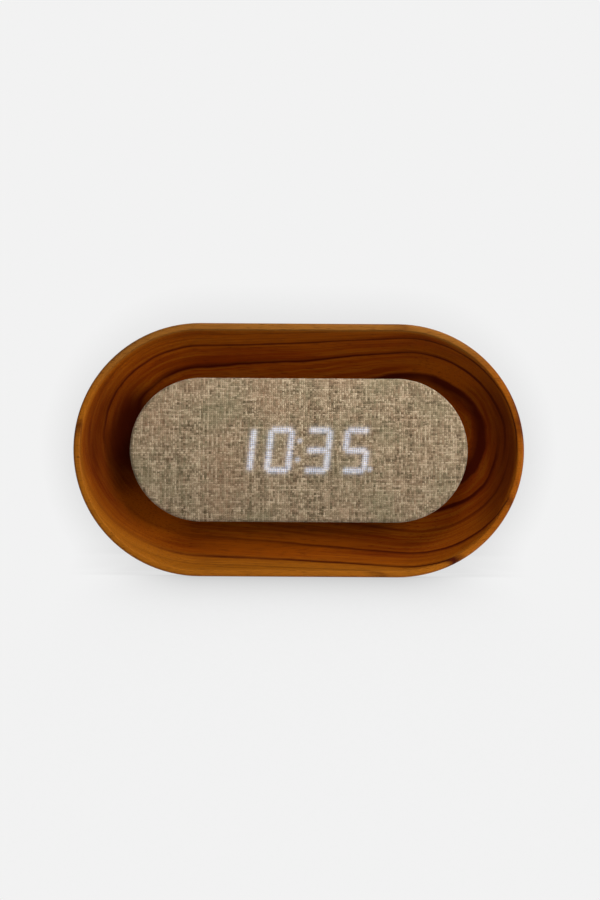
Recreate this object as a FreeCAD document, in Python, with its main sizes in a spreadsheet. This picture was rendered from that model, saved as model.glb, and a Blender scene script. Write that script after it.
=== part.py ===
"""A wooden digital clock: a scooped, stadium-shaped wood bowl round a cloth-covered display pod.

Sizes are millimetres. +Z is up, the front faces -Y, and the origin is the middle of the flat
bottom. A depth is counted back from the plane of the rim, and a height from the clock's middle.
"""

import FreeCAD
import Part
import math
import os
import Sketcher

OUTPUT_FOLDER = "parts"

SIZES = {
    # Wood bowl
    "bowl_width": 200.0,
    "bowl_height": 112.4,
    "bowl_depth": 52.0,
    "rim_width": 2.8,
    "rim_round": 1.2,
    "rim_inner_round": 0.7,
    "back_edge_round": 4.0,
    "dish_depth": 24.0,
    "dish_draft": 18.0,
    "seat_depth": 26.0,
    "window_height": 52.0,
    "back_recess_depth": 4.0,
    # Cloth-covered pod
    "pod_width": 150.7,
    "pod_height": 64.2,
    "pod_setback": 4.0,
    "pod_edge_round": 1.6,
    "pod_clearance": 0.3,
    "cloth_thickness": 0.8,
    "cloth_hem": 4.0,
    "frame_wall": 2.4,
    "frame_rib": 2.0,
    "frame_rib_height": 12.0,
    "boss_across": 62.0,
    "boss_up": 9.0,
    "boss_diameter": 7.0,
    "boss_pilot_depth": 12.0,
    # Display
    "digit_width": 11.5,
    "digit_height": 20.2,
    "digit_pitch": 17.0,
    "digit_slant": 6.5,
    "segment_width": 2.3,
    "segment_gap": 0.5,
    "colon_up": 4.2,
    "dot_diameter": 2.2,
    "dot_across": 7.1,
    "dot_up": -8.3,
    "film_thickness": 0.5,
    "film_clearance": 0.2,
    "light_box_width": 74.0,
    "light_box_height": 26.0,
    "light_box_depth": 7.0,
    "light_box_peg_across": 34.8,
    "light_box_peg_diameter": 1.8,
    "window_clearance": 0.8,
    "window_corner": 1.5,
    "lens_thickness": 1.5,
    "lens_clearance": 0.05,
    "led_length": 1.9,
    "led_width": 1.2,
    "led_height": 0.8,
    "dot_led_side": 1.2,
    "display_board_width": 98.0,
    "display_board_height": 36.0,
    "display_post_across": 44.0,
    "display_post_up": 13.5,
    "driver_length": 18.0,
    "driver_width": 7.6,
    "driver_height": 2.3,
    "driver_across": -14.0,
    # Boards, ribbon and their sockets
    "board_thickness": 1.6,
    "board_corner": 1.5,
    "post_diameter": 5.0,
    "socket_length": 16.0,
    "socket_width": 5.0,
    "socket_height": 2.0,
    "socket_across": 26.0,
    "ribbon_width": 12.6,
    "ribbon_thickness": 0.3,
    "control_board_width": 40.0,
    "control_board_height": 38.4,
    "control_across": 37.0,
    "control_board_gap": 7.4,
    "control_post_across": 17.2,
    "control_post_up": 16.2,
    "chip_side": 7.0,
    "chip_height": 1.4,
    "crystal_length": 6.0,
    "crystal_diameter": 2.0,
    "chip_part_length": 2.0,
    "chip_part_width": 1.2,
    "chip_part_height": 0.9,
    "buzzer_diameter": 12.0,
    "buzzer_height": 6.4,
    "buzzer_across": 28.0,
    "buzzer_up": 7.0,
    "sound_hole_diameter": 1.5,
    "sound_hole_ring": 3.4,
    # Screws
    "small_screw_head": 3.8,
    "small_screw_head_height": 1.3,
    "small_screw_shank": 1.6,
    "small_screw_length": 4.6,
    "cover_screw_head": 5.6,
    "cover_screw_head_height": 2.0,
    "cover_screw_shank": 2.5,
    "cover_screw_length": 14.0,
    "screw_clearance": 0.1,
    "head_clearance": 0.3,
    # Rear cover
    "cover_height": 74.0,
    "cover_thickness": 2.5,
    "cover_clearance": 0.3,
    "cover_edge_chamfer": 0.5,
    "spigot_length": 4.0,
    "spigot_wall": 1.6,
    "spigot_clearance": 0.3,
    "cover_post_diameter": 8.0,
    "cover_post_length": 4.0,
    "counterbore_depth": 2.6,
    "usb_across": 29.0,
    "usb_up": -10.5,
    "usb_width": 8.94,
    "usb_height": 3.2,
    "usb_length": 9.5,
    "usb_wall": 0.3,
    "usb_tongue_width": 6.7,
    "usb_tongue_height": 0.7,
    "usb_mouth_depth": 6.2,
    "usb_hole_clearance": 0.35,
    # Buttons and their switches
    "button_across": 46.0,
    "button_pitch": 11.0,
    "button_diameter": 7.0,
    "button_proud": 1.0,
    "button_flange_diameter": 9.4,
    "button_flange_thickness": 1.2,
    "button_dimple": 0.5,
    "button_clearance": 0.2,
    "button_travel": 0.5,
    "switch_side": 6.0,
    "switch_height": 3.5,
    "plunger_diameter": 3.4,
    "plunger_bed": 1.4,
    # Battery bay and door
    "cell_diameter": 10.4,
    "cell_length": 44.5,
    "cell_nub_length": 1.0,
    "cell_nub_diameter": 3.8,
    "cell_pitch": 11.0,
    "cell_clearance": 0.4,
    "bay_across": -19.5,
    "bay_length": 50.0,
    "bay_wall": 1.5,
    "contact_thickness": 0.3,
    "contact_side": 9.0,
    "spring_width": 6.0,
    "tab_width": 2.0,
    "tab_length": 2.4,
    "tab_clearance": 0.15,
    "lead_diameter": 1.2,
    "lead_bend": 3.0,
    "lead_up": 13.0,
    "door_thickness": 1.6,
    "door_margin": 1.0,
    "door_clearance": 0.25,
    "knuckle_diameter": 2.4,
    "hinge_across": -48.3,
    "hinge_pin_diameter": 1.2,
    "hinge_pin_length": 1.4,
    "hinge_clearance": 0.08,
    "door_end_across": 9.6,
    "latch_across": 7.9,
    "latch_width": 8.0,
    "latch_thickness": 1.0,
    "latch_length": 3.2,
    "latch_clearance": 0.4,
    "finger_notch_diameter": 12.0,
    "finger_notch_depth": 1.0,
}

DIGIT_COUNT = 4
CELL_COUNT = 3
BUTTON_NAMES = ("up", "set", "down")
BUTTON_ROWS = (1, 0, -1)
SIDES = (-1, 1)


class Size:
    """A length worked out from the sheet: its number now, and the expression that binds to it."""

    def __init__(self, number, text):
        self.number = float(number)
        self.text = text

    @staticmethod
    def of(value):
        """Wraps a plain number, and leaves a Size as it is."""
        return value if isinstance(value, Size) else Size(value, repr(float(value)))

    def join(self, other, sign, number):
        return Size(number, f"({self.text} {sign} {Size.of(other).text})")

    def __add__(self, other):
        return self.join(other, "+", self.number + Size.of(other).number)

    def __sub__(self, other):
        return self.join(other, "-", self.number - Size.of(other).number)

    def __mul__(self, other):
        return self.join(other, "*", self.number * Size.of(other).number)

    def __truediv__(self, other):
        return self.join(other, "/", self.number / Size.of(other).number)

    def __radd__(self, other):
        return Size.of(other) + self

    def __rsub__(self, other):
        return Size.of(other) - self

    def __rmul__(self, other):
        return Size.of(other) * self

    def __neg__(self):
        return 0.0 - self


ZERO = Size.of(0.0)


def cosine(angle):
    """The cosine of an angle in degrees."""
    return Size(math.cos(math.radians(angle.number)), f"cos({angle.text})")


def sine(angle):
    """The sine of an angle in degrees."""
    return Size(math.sin(math.radians(angle.number)), f"sin({angle.text})")


def tangent(angle):
    """The tangent of an angle in degrees."""
    return Size(math.tan(math.radians(angle.number)), f"tan({angle.text})")


class Sheet:
    """The document's spreadsheet, whose cells are read as Sizes by their names."""

    def __init__(self, doc):
        self.sheet = doc.addObject("Spreadsheet::Sheet", "Sizes")
        for row, (name, value) in enumerate(SIZES.items(), start=1):
            self.sheet.set(f"A{row}", name)
            self.sheet.set(f"B{row}", str(value))
            self.sheet.setAlias(f"B{row}", name)
        doc.recompute()

    def __getattr__(self, name):
        return Size(self.sheet.get(name), f"Sizes.{name}")


DOC = FreeCAD.newDocument("WoodenDigitalClock")
S = Sheet(DOC)

# Places worked out from the sheet, which more than one sub-part uses.
MIDDLE_UP = S.bowl_height / 2
HALF_DEPTH = S.bowl_depth / 2
BOWL_CORE = (S.bowl_width - S.bowl_height) / 2
POD_CORE = (S.pod_width - S.pod_height) / 2
POD_RADIUS = S.pod_height / 2
FRAME_RADIUS = POD_RADIUS - S.cloth_thickness
WINDOW_RADIUS = S.window_height / 2
COVER_RADIUS = S.cover_height / 2

RIM_DEPTH = ZERO
FRAME_FRONT = S.pod_setback + S.cloth_thickness
FRAME_INSIDE = FRAME_FRONT + S.frame_wall
FRAME_BACK = S.seat_depth - S.cloth_thickness
LIGHT_BOX_FRONT = FRAME_FRONT + S.film_thickness
DISPLAY_FRONT = LIGHT_BOX_FRONT + S.light_box_depth
DISPLAY_BACK = DISPLAY_FRONT + S.board_thickness
COVER_INSIDE = S.bowl_depth - S.back_recess_depth
COVER_OUTSIDE = COVER_INSIDE + S.cover_thickness
BOSS_BACK = COVER_INSIDE - S.cover_post_length
CONTROL_BACK = COVER_INSIDE - S.control_board_gap
CONTROL_FRONT = CONTROL_BACK - S.board_thickness
CONTROL_LEFT = S.control_across - S.control_board_width / 2
HEAD_SEAT = COVER_OUTSIDE - S.counterbore_depth

BUTTON_TOP = COVER_OUTSIDE + S.button_proud
FLANGE_BACK = COVER_INSIDE - S.button_clearance
FLANGE_FRONT = FLANGE_BACK - S.button_flange_thickness

DOOR_INSIDE = COVER_OUTSIDE - S.door_thickness
CELL_DEPTH = DOOR_INSIDE - S.cell_clearance - S.cell_diameter / 2
BAY_FLOOR = CELL_DEPTH - S.cell_diameter / 2 - S.cell_clearance
BAY_FRONT = BAY_FLOOR - S.bay_wall
BAY_HEIGHT = S.cell_pitch * CELL_COUNT + S.cell_clearance
BAY_LEFT = S.bay_across - S.bay_length / 2
BAY_RIGHT = S.bay_across + S.bay_length / 2
DOOR_HEIGHT = BAY_HEIGHT + S.door_margin * 2
KNUCKLE_RADIUS = S.knuckle_diameter / 2
HINGE_DEPTH = COVER_OUTSIDE - KNUCKLE_RADIUS

WINDOW_WIDTH = S.light_box_width + S.window_clearance * 2
WINDOW_OPENING_HEIGHT = S.light_box_height + S.window_clearance * 2


def bind(feature, name, value):
    """Sets a property and ties it to the sheet."""
    size = Size.of(value)
    feature.setExpression(name, size.text)


def new_body(name):
    """An empty body whose label names its file."""
    body = DOC.addObject("PartDesign::Body", name)
    body.Label = name
    return body


def origin_part(body, role):
    """The body's own origin plane or axis with that role."""
    return next(f for f in body.Origin.OriginFeatures if f.Role == role)


def new_sketch(body, name, role, offsets):
    """A sketch on one of the body's origin planes, moved by offsets along its own axes."""
    sketch = body.newObject("Sketcher::SketchObject", name)
    sketch.AttachmentSupport = [(origin_part(body, role), "")]
    sketch.MapMode = "FlatFace"
    for axis, offset in zip("xyz", offsets):
        bind(sketch, f".AttachmentOffset.Base.{axis}", offset)
    return sketch


def front_sketch(body, name, depth):
    """A sketch seen from the front: across and up from the clock's middle, at one depth."""
    return new_sketch(body, name, "XZ_Plane", (ZERO, MIDDLE_UP, HALF_DEPTH - depth))


def side_sketch(body, name, across, up):
    """A sketch whose axes are depth and height, about a line that runs from front to back."""
    return new_sketch(body, name, "YZ_Plane", (-HALF_DEPTH, MIDDLE_UP + up, across))


def level_sketch(body, name, depth, up):
    """A sketch seen from above, whose axes are across and depth, about the line at that depth."""
    return new_sketch(body, name, "XY_Plane", (ZERO, depth - HALF_DEPTH, MIDDLE_UP + up))


def constrain(sketch, kind, places, value):
    """Adds a dimension to a sketch and ties it to the sheet."""
    size = Size.of(value)
    index = sketch.addConstraint(Sketcher.Constraint(kind, *places, size.number))
    sketch.setExpression(f"Constraints[{index}]", size.text)


def fix(sketch, curve, point, across, up):
    """Holds one point of a curve at its distances from the sketch's origin."""
    constrain(sketch, "DistanceX", (-1, 1, curve, point), across)
    constrain(sketch, "DistanceY", (-1, 1, curve, point), up)


def vector(across, up):
    return FreeCAD.Vector(Size.of(across).number, Size.of(up).number, 0)


def line(sketch, start, end):
    return sketch.addGeometry(Part.LineSegment(vector(*start), vector(*end)), False)


def arc(sketch, centre, radius, start_degrees, end_degrees):
    circle = Part.Circle(vector(*centre), FreeCAD.Vector(0, 0, 1), Size.of(radius).number)
    ends = math.radians(start_degrees), math.radians(end_degrees)
    return sketch.addGeometry(Part.ArcOfCircle(circle, *ends), False)


def join(sketch, kind, first, first_point, second, second_point):
    sketch.addConstraint(Sketcher.Constraint(kind, first, first_point, second, second_point))


def polygon(sketch, points):
    """A closed outline of straight sides through the points."""
    sides = [line(sketch, a, b) for a, b in zip(points, points[1:] + points[:1])]
    for side, following in zip(sides, sides[1:] + sides[:1]):
        join(sketch, "Coincident", side, 2, following, 1)
    for side, point in zip(sides, points):
        fix(sketch, side, 1, *point)


def rectangle(sketch, across, up, width, height):
    left, right = across - width / 2, across + width / 2
    low, high = up - height / 2, up + height / 2
    polygon(sketch, [(left, low), (right, low), (right, high), (left, high)])


def circle(sketch, across, up, diameter):
    radius = Size.of(diameter).number / 2
    shape = Part.Circle(vector(across, up), FreeCAD.Vector(0, 0, 1), radius)
    curve = sketch.addGeometry(shape, False)
    fix(sketch, curve, 3, across, up)
    constrain(sketch, "Diameter", (curve,), diameter)


def stadium(sketch, core, radius, across=ZERO, up=ZERO):
    """A straight-sided outline with round ends; core is half the distance between their centres."""
    low, high = across - core, across + core
    top = line(sketch, (low, up + radius), (high, up + radius))
    right = arc(sketch, (high, up), radius, -90, 90)
    bottom = line(sketch, (high, up - radius), (low, up - radius))
    left = arc(sketch, (low, up), radius, 90, 270)
    join(sketch, "Tangent", top, 2, right, 2)
    join(sketch, "Tangent", right, 1, bottom, 1)
    join(sketch, "Tangent", bottom, 2, left, 2)
    join(sketch, "Tangent", left, 1, top, 1)
    fix(sketch, right, 3, high, up)
    fix(sketch, left, 3, low, up)
    sketch.addConstraint(Sketcher.Constraint("Equal", right, left))
    constrain(sketch, "Radius", (right,), radius)


def rounded_rectangle(sketch, across, up, width, height, corner):
    """A rectangle with round corners, about its middle."""
    wide, high = width / 2 - corner, height / 2 - corner
    corners = [(1, 1, 0), (-1, 1, 90), (-1, -1, 180), (1, -1, 270)]
    arcs = []
    for side, level, start in corners:
        centre = across + wide * side, up + high * level
        curve = arc(sketch, centre, corner, start, start + 90)
        fix(sketch, curve, 3, *centre)
        arcs.append(curve)
    for index, (side, level, start) in enumerate(corners):
        following = corners[(index + 1) % 4]
        turn = math.radians(start + 90)
        reach = vector(corner * math.cos(turn), corner * math.sin(turn))
        begin = vector(across + wide * side, up + high * level) + reach
        finish = vector(across + wide * following[0], up + high * following[1]) + reach
        edge = sketch.addGeometry(Part.LineSegment(begin, finish), False)
        join(sketch, "Tangent", arcs[index], 2, edge, 1)
        join(sketch, "Tangent", edge, 2, arcs[(index + 1) % 4], 1)
    for curve in arcs[1:]:
        sketch.addConstraint(Sketcher.Constraint("Equal", arcs[0], curve))
    constrain(sketch, "Radius", (arcs[0],), corner)


def volume(body):
    DOC.recompute()
    return body.Shape.Volume


def must_change(body, before, grows, name):
    """Stops the build when a feature pointed the wrong way and changed nothing."""
    after = volume(body)
    if grows != (after > before) or after == before:
        raise RuntimeError(f"{body.Label}: {name} took the volume from {before} to {after}")


def slab(body, name, draw, front, back):
    """Adds material from one depth back to another, inside the outline that draw makes."""
    before = volume(body) if body.Tip else 0.0
    sketch = front_sketch(body, f"{name}_outline", front)
    draw(sketch)
    pad = body.newObject("PartDesign::Pad", name)
    pad.Profile = sketch
    pad.Reversed = True
    bind(pad, "Length", back - front)
    must_change(body, before, True, name)
    return pad


def cut(body, name, draw, front, back):
    """Takes material away from one depth back to another."""
    before = volume(body)
    sketch = front_sketch(body, f"{name}_outline", front)
    draw(sketch)
    pocket = body.newObject("PartDesign::Pocket", name)
    pocket.Profile = sketch
    bind(pocket, "Length", back - front)
    must_change(body, before, False, name)
    return pocket


def repeat(body, name, feature, role, length, count):
    """Repeats a feature along one of the body's axes; length is from the first to the last."""
    pattern = body.newObject("PartDesign::LinearPattern", name)
    pattern.Originals = [feature]
    pattern.Direction = (origin_part(body, role), [""])
    bind(pattern, "Length", length)
    pattern.Occurrences = count
    body.Tip = pattern
    DOC.recompute()
    return pattern


def at_corners(name, across, up, draw_one):
    """Draws one outline at each of four corners about the clock's middle."""

    def draw(sketch):
        for side in SIDES:
            for level in SIDES:
                draw_one(sketch, across * side, up * level)

    return draw


def turned(body, name, across, up, outline):
    """Adds a shape turned about a line from front to back; outline holds (depth, radius) pairs."""
    sketch = side_sketch(body, f"{name}_profile", across, up)
    polygon(sketch, outline)
    revolution = body.newObject("PartDesign::Revolution", name)
    revolution.Profile = sketch
    revolution.ReferenceAxis = (sketch, ["H_Axis"])
    revolution.Angle = 360
    DOC.recompute()
    return revolution


def screw_outline(seat, head, head_height, shank, length):
    """Half of a pan-head screw that points forward, with its head's underside at seat."""
    round_off = head_height / 3
    return [
        (seat - length, ZERO),
        (seat - length + shank / 2, shank / 2),
        (seat, shank / 2),
        (seat, head / 2),
        (seat + head_height - round_off, head / 2),
        (seat + head_height, head / 2 - round_off),
        (seat + head_height, ZERO),
    ]


def edges_where(shape, test):
    """The names of a shape's edges that pass a test."""
    return [f"Edge{i}" for i, edge in enumerate(shape.Edges, start=1) if test(edge)]


def at_depth(edge, depth):
    """Whether an edge lies in the plane at one depth."""
    place = (depth - HALF_DEPTH).number
    box = edge.BoundBox
    return abs(box.YMin - place) < 1e-4 and abs(box.YMax - place) < 1e-4


def edge_reach(edge, core):
    """How far an edge's middle lies from the line between a stadium's two end centres."""
    middle = edge.valueAt((edge.FirstParameter + edge.LastParameter) / 2)
    beyond = max(abs(middle.x) - core.number, 0.0)
    return math.hypot(beyond, middle.z - MIDDLE_UP.number)


def dress(body, kind, name, size, test):
    """Rounds or chamfers the edges of the body's present shape that pass a test."""
    DOC.recompute()
    base = body.Tip
    names = edges_where(base.Shape, test)
    if not names:
        raise RuntimeError(f"{body.Label}: no edge for {name}")
    feature = body.newObject(f"PartDesign::{kind}", name)
    feature.Base = (base, names)
    bind(feature, "Radius" if kind == "Fillet" else "Size", size)
    DOC.recompute()
    return feature


def round_outer_edge(body, name, depth, core, radius, size, kind="Fillet"):
    """Rounds the edge of a stadium that lies at one depth and one distance from its core."""

    def test(edge):
        return at_depth(edge, depth) and abs(edge_reach(edge, core) - radius.number) < 1e-3

    return dress(body, kind, name, size, test)


def dish_arc():
    """The dish's curve in a side view: its centre's depth and height, its radius and its end."""
    turn = 90 - S.dish_draft
    radius = S.dish_depth / (1 - cosine(turn))
    rim = S.bowl_height / 2 - S.rim_width
    end = rim - radius * sine(turn)
    return S.dish_depth - radius, end, radius, turn, rim


def dish_profile(sketch, lead, mirrored):
    """Half of the dish's section, from its middle line out to the rim, or the whole of it."""
    centre_depth, end, _, turn, rim = dish_arc()
    radius = S.dish_depth - centre_depth
    front = -lead
    low_front = (front, -rim) if mirrored else (front, ZERO)
    low_floor = (S.dish_depth, -end) if mirrored else (S.dish_depth, ZERO)
    floor = line(sketch, low_floor, (S.dish_depth, end))
    wall = arc(sketch, (centre_depth, end), radius, 0, turn.number)
    lip = line(sketch, (ZERO, rim), (front, rim))
    face = line(sketch, (front, rim), low_front)
    outline = [floor, wall, lip, face]
    if mirrored:
        low_lip = line(sketch, low_front, (ZERO, -rim))
        low_wall = arc(sketch, (centre_depth, -end), radius, -turn.number, 0)
        outline += [low_lip, low_wall]
        fix(sketch, low_wall, 3, centre_depth, -end)
        constrain(sketch, "DistanceX", (-1, 1, low_wall, 1), ZERO)
    else:
        outline.append(line(sketch, low_front, low_floor))
    for curve, following in zip(outline, outline[1:] + outline[:1]):
        join(sketch, "Coincident", curve, 2, following, 1)
    fix(sketch, floor, 1, *low_floor)
    fix(sketch, floor, 2, S.dish_depth, end)
    fix(sketch, wall, 3, centre_depth, end)
    constrain(sketch, "DistanceX", (-1, 1, wall, 2), ZERO)
    fix(sketch, face, 1, front, rim)
    fix(sketch, face, 2, *low_front)


def scoop_dish(body):
    """Cuts the dish: a trough along the middle, and half a bowl turned at each end."""
    lead = S.rim_width
    before = volume(body)
    trough_sketch = side_sketch(body, "trough_profile", ZERO, ZERO)
    dish_profile(trough_sketch, lead, mirrored=True)
    trough = body.newObject("PartDesign::Pocket", "trough")
    trough.Profile = trough_sketch
    trough.Midplane = True
    bind(trough, "Length", BOWL_CORE * 2)
    must_change(body, before, False, "trough")
    for side, label in zip(SIDES, ("left", "right")):
        before = volume(body)
        sketch = side_sketch(body, f"{label}_end_profile", BOWL_CORE * side, ZERO)
        dish_profile(sketch, lead, mirrored=False)
        groove = body.newObject("PartDesign::Groove", f"{label}_end")
        groove.Profile = sketch
        groove.ReferenceAxis = (sketch, ["H_Axis"])
        groove.Angle = 360
        must_change(body, before, False, groove.Name)


def wood_bowl():
    """The block of wood: dish, seat for the pod, window through it and recess for the cover."""
    body = new_body("wood_bowl")
    radius = S.bowl_height / 2
    slab(body, "block", lambda k: stadium(k, BOWL_CORE, radius), RIM_DEPTH, S.bowl_depth)
    scoop_dish(body)
    seat_radius = POD_RADIUS + S.pod_clearance
    cut(body, "pod_seat", lambda k: stadium(k, POD_CORE, seat_radius), RIM_DEPTH, S.seat_depth)
    cut(body, "through_window", lambda k: stadium(k, POD_CORE, WINDOW_RADIUS), RIM_DEPTH, S.bowl_depth)
    recess_radius = COVER_RADIUS + S.cover_clearance
    cut(
        body,
        "cover_recess",
        lambda k: stadium(k, POD_CORE, recess_radius),
        COVER_INSIDE,
        S.bowl_depth,
    )
    round_outer_edge(body, "rim_outer_edge", RIM_DEPTH, BOWL_CORE, radius, S.rim_round)
    inner = radius - S.rim_width
    round_outer_edge(body, "rim_inner_edge", RIM_DEPTH, BOWL_CORE, inner, S.rim_inner_round)
    round_outer_edge(body, "back_edge", S.bowl_depth, BOWL_CORE, radius, S.back_edge_round)


def grille_cloth():
    """The cloth stretched over the pod's front and sides and turned in under its back edge."""
    body = new_body("grille_cloth")
    slab(body, "cloth_block", lambda k: stadium(k, POD_CORE, POD_RADIUS), S.pod_setback, S.seat_depth)
    round_outer_edge(body, "cloth_edge", S.pod_setback, POD_CORE, POD_RADIUS, S.pod_edge_round)
    hem_radius = FRAME_RADIUS - S.cloth_hem
    cut(body, "hem_opening", lambda k: stadium(k, POD_CORE, hem_radius), FRAME_FRONT, S.seat_depth)
    cut(body, "inside", lambda k: stadium(k, POD_CORE, FRAME_RADIUS), FRAME_FRONT, FRAME_BACK)
    fold = S.pod_edge_round - S.cloth_thickness

    def corner_inside(edge):
        return at_depth(edge, FRAME_FRONT) and (
            abs(edge_reach(edge, POD_CORE) - FRAME_RADIUS.number) < 1e-3
        )

    dress(body, "Fillet", "cloth_inside_edge", fold, corner_inside)


def front_frame():
    """The pod's moulded shell, with its display window, board posts and long screw bosses."""
    body = new_body("front_frame")
    slab(body, "shell", lambda k: stadium(k, POD_CORE, FRAME_RADIUS), FRAME_FRONT, FRAME_BACK)
    edge = S.pod_edge_round - S.cloth_thickness
    round_outer_edge(body, "shell_edge", FRAME_FRONT, POD_CORE, FRAME_RADIUS, edge)
    inside = FRAME_RADIUS - S.frame_wall
    cut(body, "hollow", lambda k: stadium(k, POD_CORE, inside), FRAME_INSIDE, FRAME_BACK)
    cut(
        body,
        "display_window",
        lambda k: rounded_rectangle(
            k, ZERO, ZERO, WINDOW_WIDTH, WINDOW_OPENING_HEIGHT, S.window_corner
        ),
        FRAME_FRONT,
        FRAME_INSIDE,
    )

    def boss(sketch, across, up):
        circle(sketch, across, up, S.boss_diameter)

    def boss_pilot(sketch, across, up):
        circle(sketch, across, up, S.cover_screw_shank + S.screw_clearance)

    def post(sketch, across, up):
        circle(sketch, across, up, S.post_diameter)

    def post_pilot(sketch, across, up):
        circle(sketch, across, up, S.small_screw_shank + S.screw_clearance)

    def rib(sketch, across, up):
        side = 1 if across.number > 0 else -1
        outer = (POD_CORE + inside) * side
        rectangle(sketch, (across + outer) / 2, up, (outer - across) * side, S.frame_rib)

    boss_place = (S.boss_across, S.boss_up)
    post_place = (S.display_post_across, S.display_post_up)
    slab(body, "bosses", at_corners("boss", *boss_place, boss), FRAME_INSIDE, BOSS_BACK)
    rib_back = FRAME_INSIDE + S.frame_rib_height
    slab(body, "boss_ribs", at_corners("rib", *boss_place, rib), FRAME_INSIDE, rib_back)
    slab(body, "display_posts", at_corners("post", *post_place, post), FRAME_INSIDE, DISPLAY_FRONT)
    pilot_front = BOSS_BACK - S.boss_pilot_depth
    cut(body, "boss_pilots", at_corners("pilot", *boss_place, boss_pilot), pilot_front, BOSS_BACK)
    cut(
        body,
        "post_pilots",
        at_corners("pilot", *post_place, post_pilot),
        FRAME_INSIDE,
        DISPLAY_FRONT,
    )


def sheared(across, up):
    """Leans a point of a digit over to the right as it rises."""
    return across + up * tangent(S.digit_slant), up


def segment_points(level, side, inset):
    """The six corners of one bar of a digit: side 0 is a level bar, and -1 or 1 an upright one."""
    half = S.segment_width / 2 - inset
    column = (S.digit_width - S.segment_width) / 2
    row = (S.digit_height - S.segment_width) / 2
    trim = (S.segment_gap / 2 + inset) * math.sqrt(2)
    if side == 0:
        reach, up = column - trim, row * level
        plain = [
            (-reach, up),
            (-reach + half, up - half),
            (reach - half, up - half),
            (reach, up),
            (reach - half, up + half),
            (-reach + half, up + half),
        ]
    else:
        reach, across, up = row / 2 - trim, column * side, row * level / 2
        plain = [
            (across, up - reach),
            (across + half, up - reach + half),
            (across + half, up + reach - half),
            (across, up + reach),
            (across - half, up + reach - half),
            (across - half, up - reach + half),
        ]
    return [sheared(*point) for point in plain]


LEVEL_BARS = ((1, 0), (0, 0), (-1, 0))
UPRIGHT_BARS = ((1, -1), (1, 1), (-1, -1), (-1, 1))
FIRST_DIGIT = -S.digit_pitch * ((DIGIT_COUNT - 1) / 2)
LAST_DIGIT = S.digit_pitch * ((DIGIT_COUNT - 1) / 2)


def draw_digit(inset):
    """Draws the seven bars of the first digit."""

    def draw(sketch):
        for level, side in LEVEL_BARS + UPRIGHT_BARS:
            corners = segment_points(level, side, inset)
            polygon(sketch, [(FIRST_DIGIT + across, up) for across, up in corners])

    return draw


def dot_places():
    """The middles of the colon's two dots and of the dot after the last digit."""
    colon = [sheared(ZERO, S.colon_up), sheared(ZERO, -S.colon_up)]
    across, up = sheared(S.dot_across, S.dot_up)
    return colon + [(LAST_DIGIT + across, up)]


def draw_dots(inset):
    def draw(sketch):
        for place in dot_places():
            circle(sketch, *place, S.dot_diameter - inset * 2)

    return draw


def diffuser_film():
    """The frosted film over the display, level with the front of the frame."""
    body = new_body("diffuser_film")
    width = WINDOW_WIDTH - S.film_clearance * 2
    height = WINDOW_OPENING_HEIGHT - S.film_clearance * 2
    corner = S.window_corner - S.film_clearance
    slab(
        body,
        "film",
        lambda k: rounded_rectangle(k, ZERO, ZERO, width, height, corner),
        FRAME_FRONT,
        LIGHT_BOX_FRONT,
    )


def digit_run():
    """The distance from the first digit to the last."""
    return S.digit_pitch * (DIGIT_COUNT - 1)


def light_box():
    """The display's opaque block, with a shaft for each bar and dot and two locating pegs."""
    body = new_body("light_box")
    slab(
        body,
        "block",
        lambda k: rectangle(k, ZERO, ZERO, S.light_box_width, S.light_box_height),
        LIGHT_BOX_FRONT,
        DISPLAY_FRONT,
    )
    slab(body, "pegs", draw_pegs(0.0), DISPLAY_FRONT, DISPLAY_BACK)
    shafts = cut(body, "bar_shafts", draw_digit(0.0), LIGHT_BOX_FRONT, DISPLAY_FRONT)
    repeat(body, "all_bar_shafts", shafts, "X_Axis", digit_run(), DIGIT_COUNT)
    cut(body, "dot_shafts", draw_dots(0.0), LIGHT_BOX_FRONT, DISPLAY_FRONT)


def draw_pegs(clearance):
    def draw(sketch):
        for side in SIDES:
            diameter = S.light_box_peg_diameter + clearance
            circle(sketch, S.light_box_peg_across * side, ZERO, diameter)

    return draw


def segment_lenses():
    """The clear bars and dots that fill the mouths of the shafts."""
    body = new_body("segment_lenses")
    back = LIGHT_BOX_FRONT + S.lens_thickness
    bars = slab(body, "bars", draw_digit(S.lens_clearance), LIGHT_BOX_FRONT, back)
    repeat(body, "all_bars", bars, "X_Axis", digit_run(), DIGIT_COUNT)
    slab(body, "dots", draw_dots(S.lens_clearance), LIGHT_BOX_FRONT, back)


def board(name, draw, front, back):
    """A circuit board: its outline with its holes, one board thick."""
    body = new_body(name)
    slab(body, "laminate", draw, front, back)
    return body


def display_board():
    """The board behind the display, on the frame's four posts."""

    def draw(sketch):
        size = (S.display_board_width, S.display_board_height)
        rounded_rectangle(sketch, ZERO, ZERO, *size, S.board_corner)
        hole = S.small_screw_shank + S.screw_clearance * 2
        for side in SIDES:
            for level in SIDES:
                across, up = S.display_post_across * side, S.display_post_up * level
                circle(sketch, across, up, hole)
        draw_pegs(S.screw_clearance)(sketch)

    board("display_board", draw, DISPLAY_FRONT, DISPLAY_BACK)


def led_places():
    """The middles of the two light chips in each bar of the first digit, and whether they lie level."""
    column = (S.digit_width - S.segment_width) / 2
    row = (S.digit_height - S.segment_width) / 2
    places = []
    for level, _ in LEVEL_BARS:
        for side in SIDES:
            places.append((sheared(column * side * 0.4, row * level), True))
    for level, side in UPRIGHT_BARS:
        for along in SIDES:
            up = row * level / 2 + row * along * 0.2
            places.append((sheared(column * side, up), False))
    return places


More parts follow.
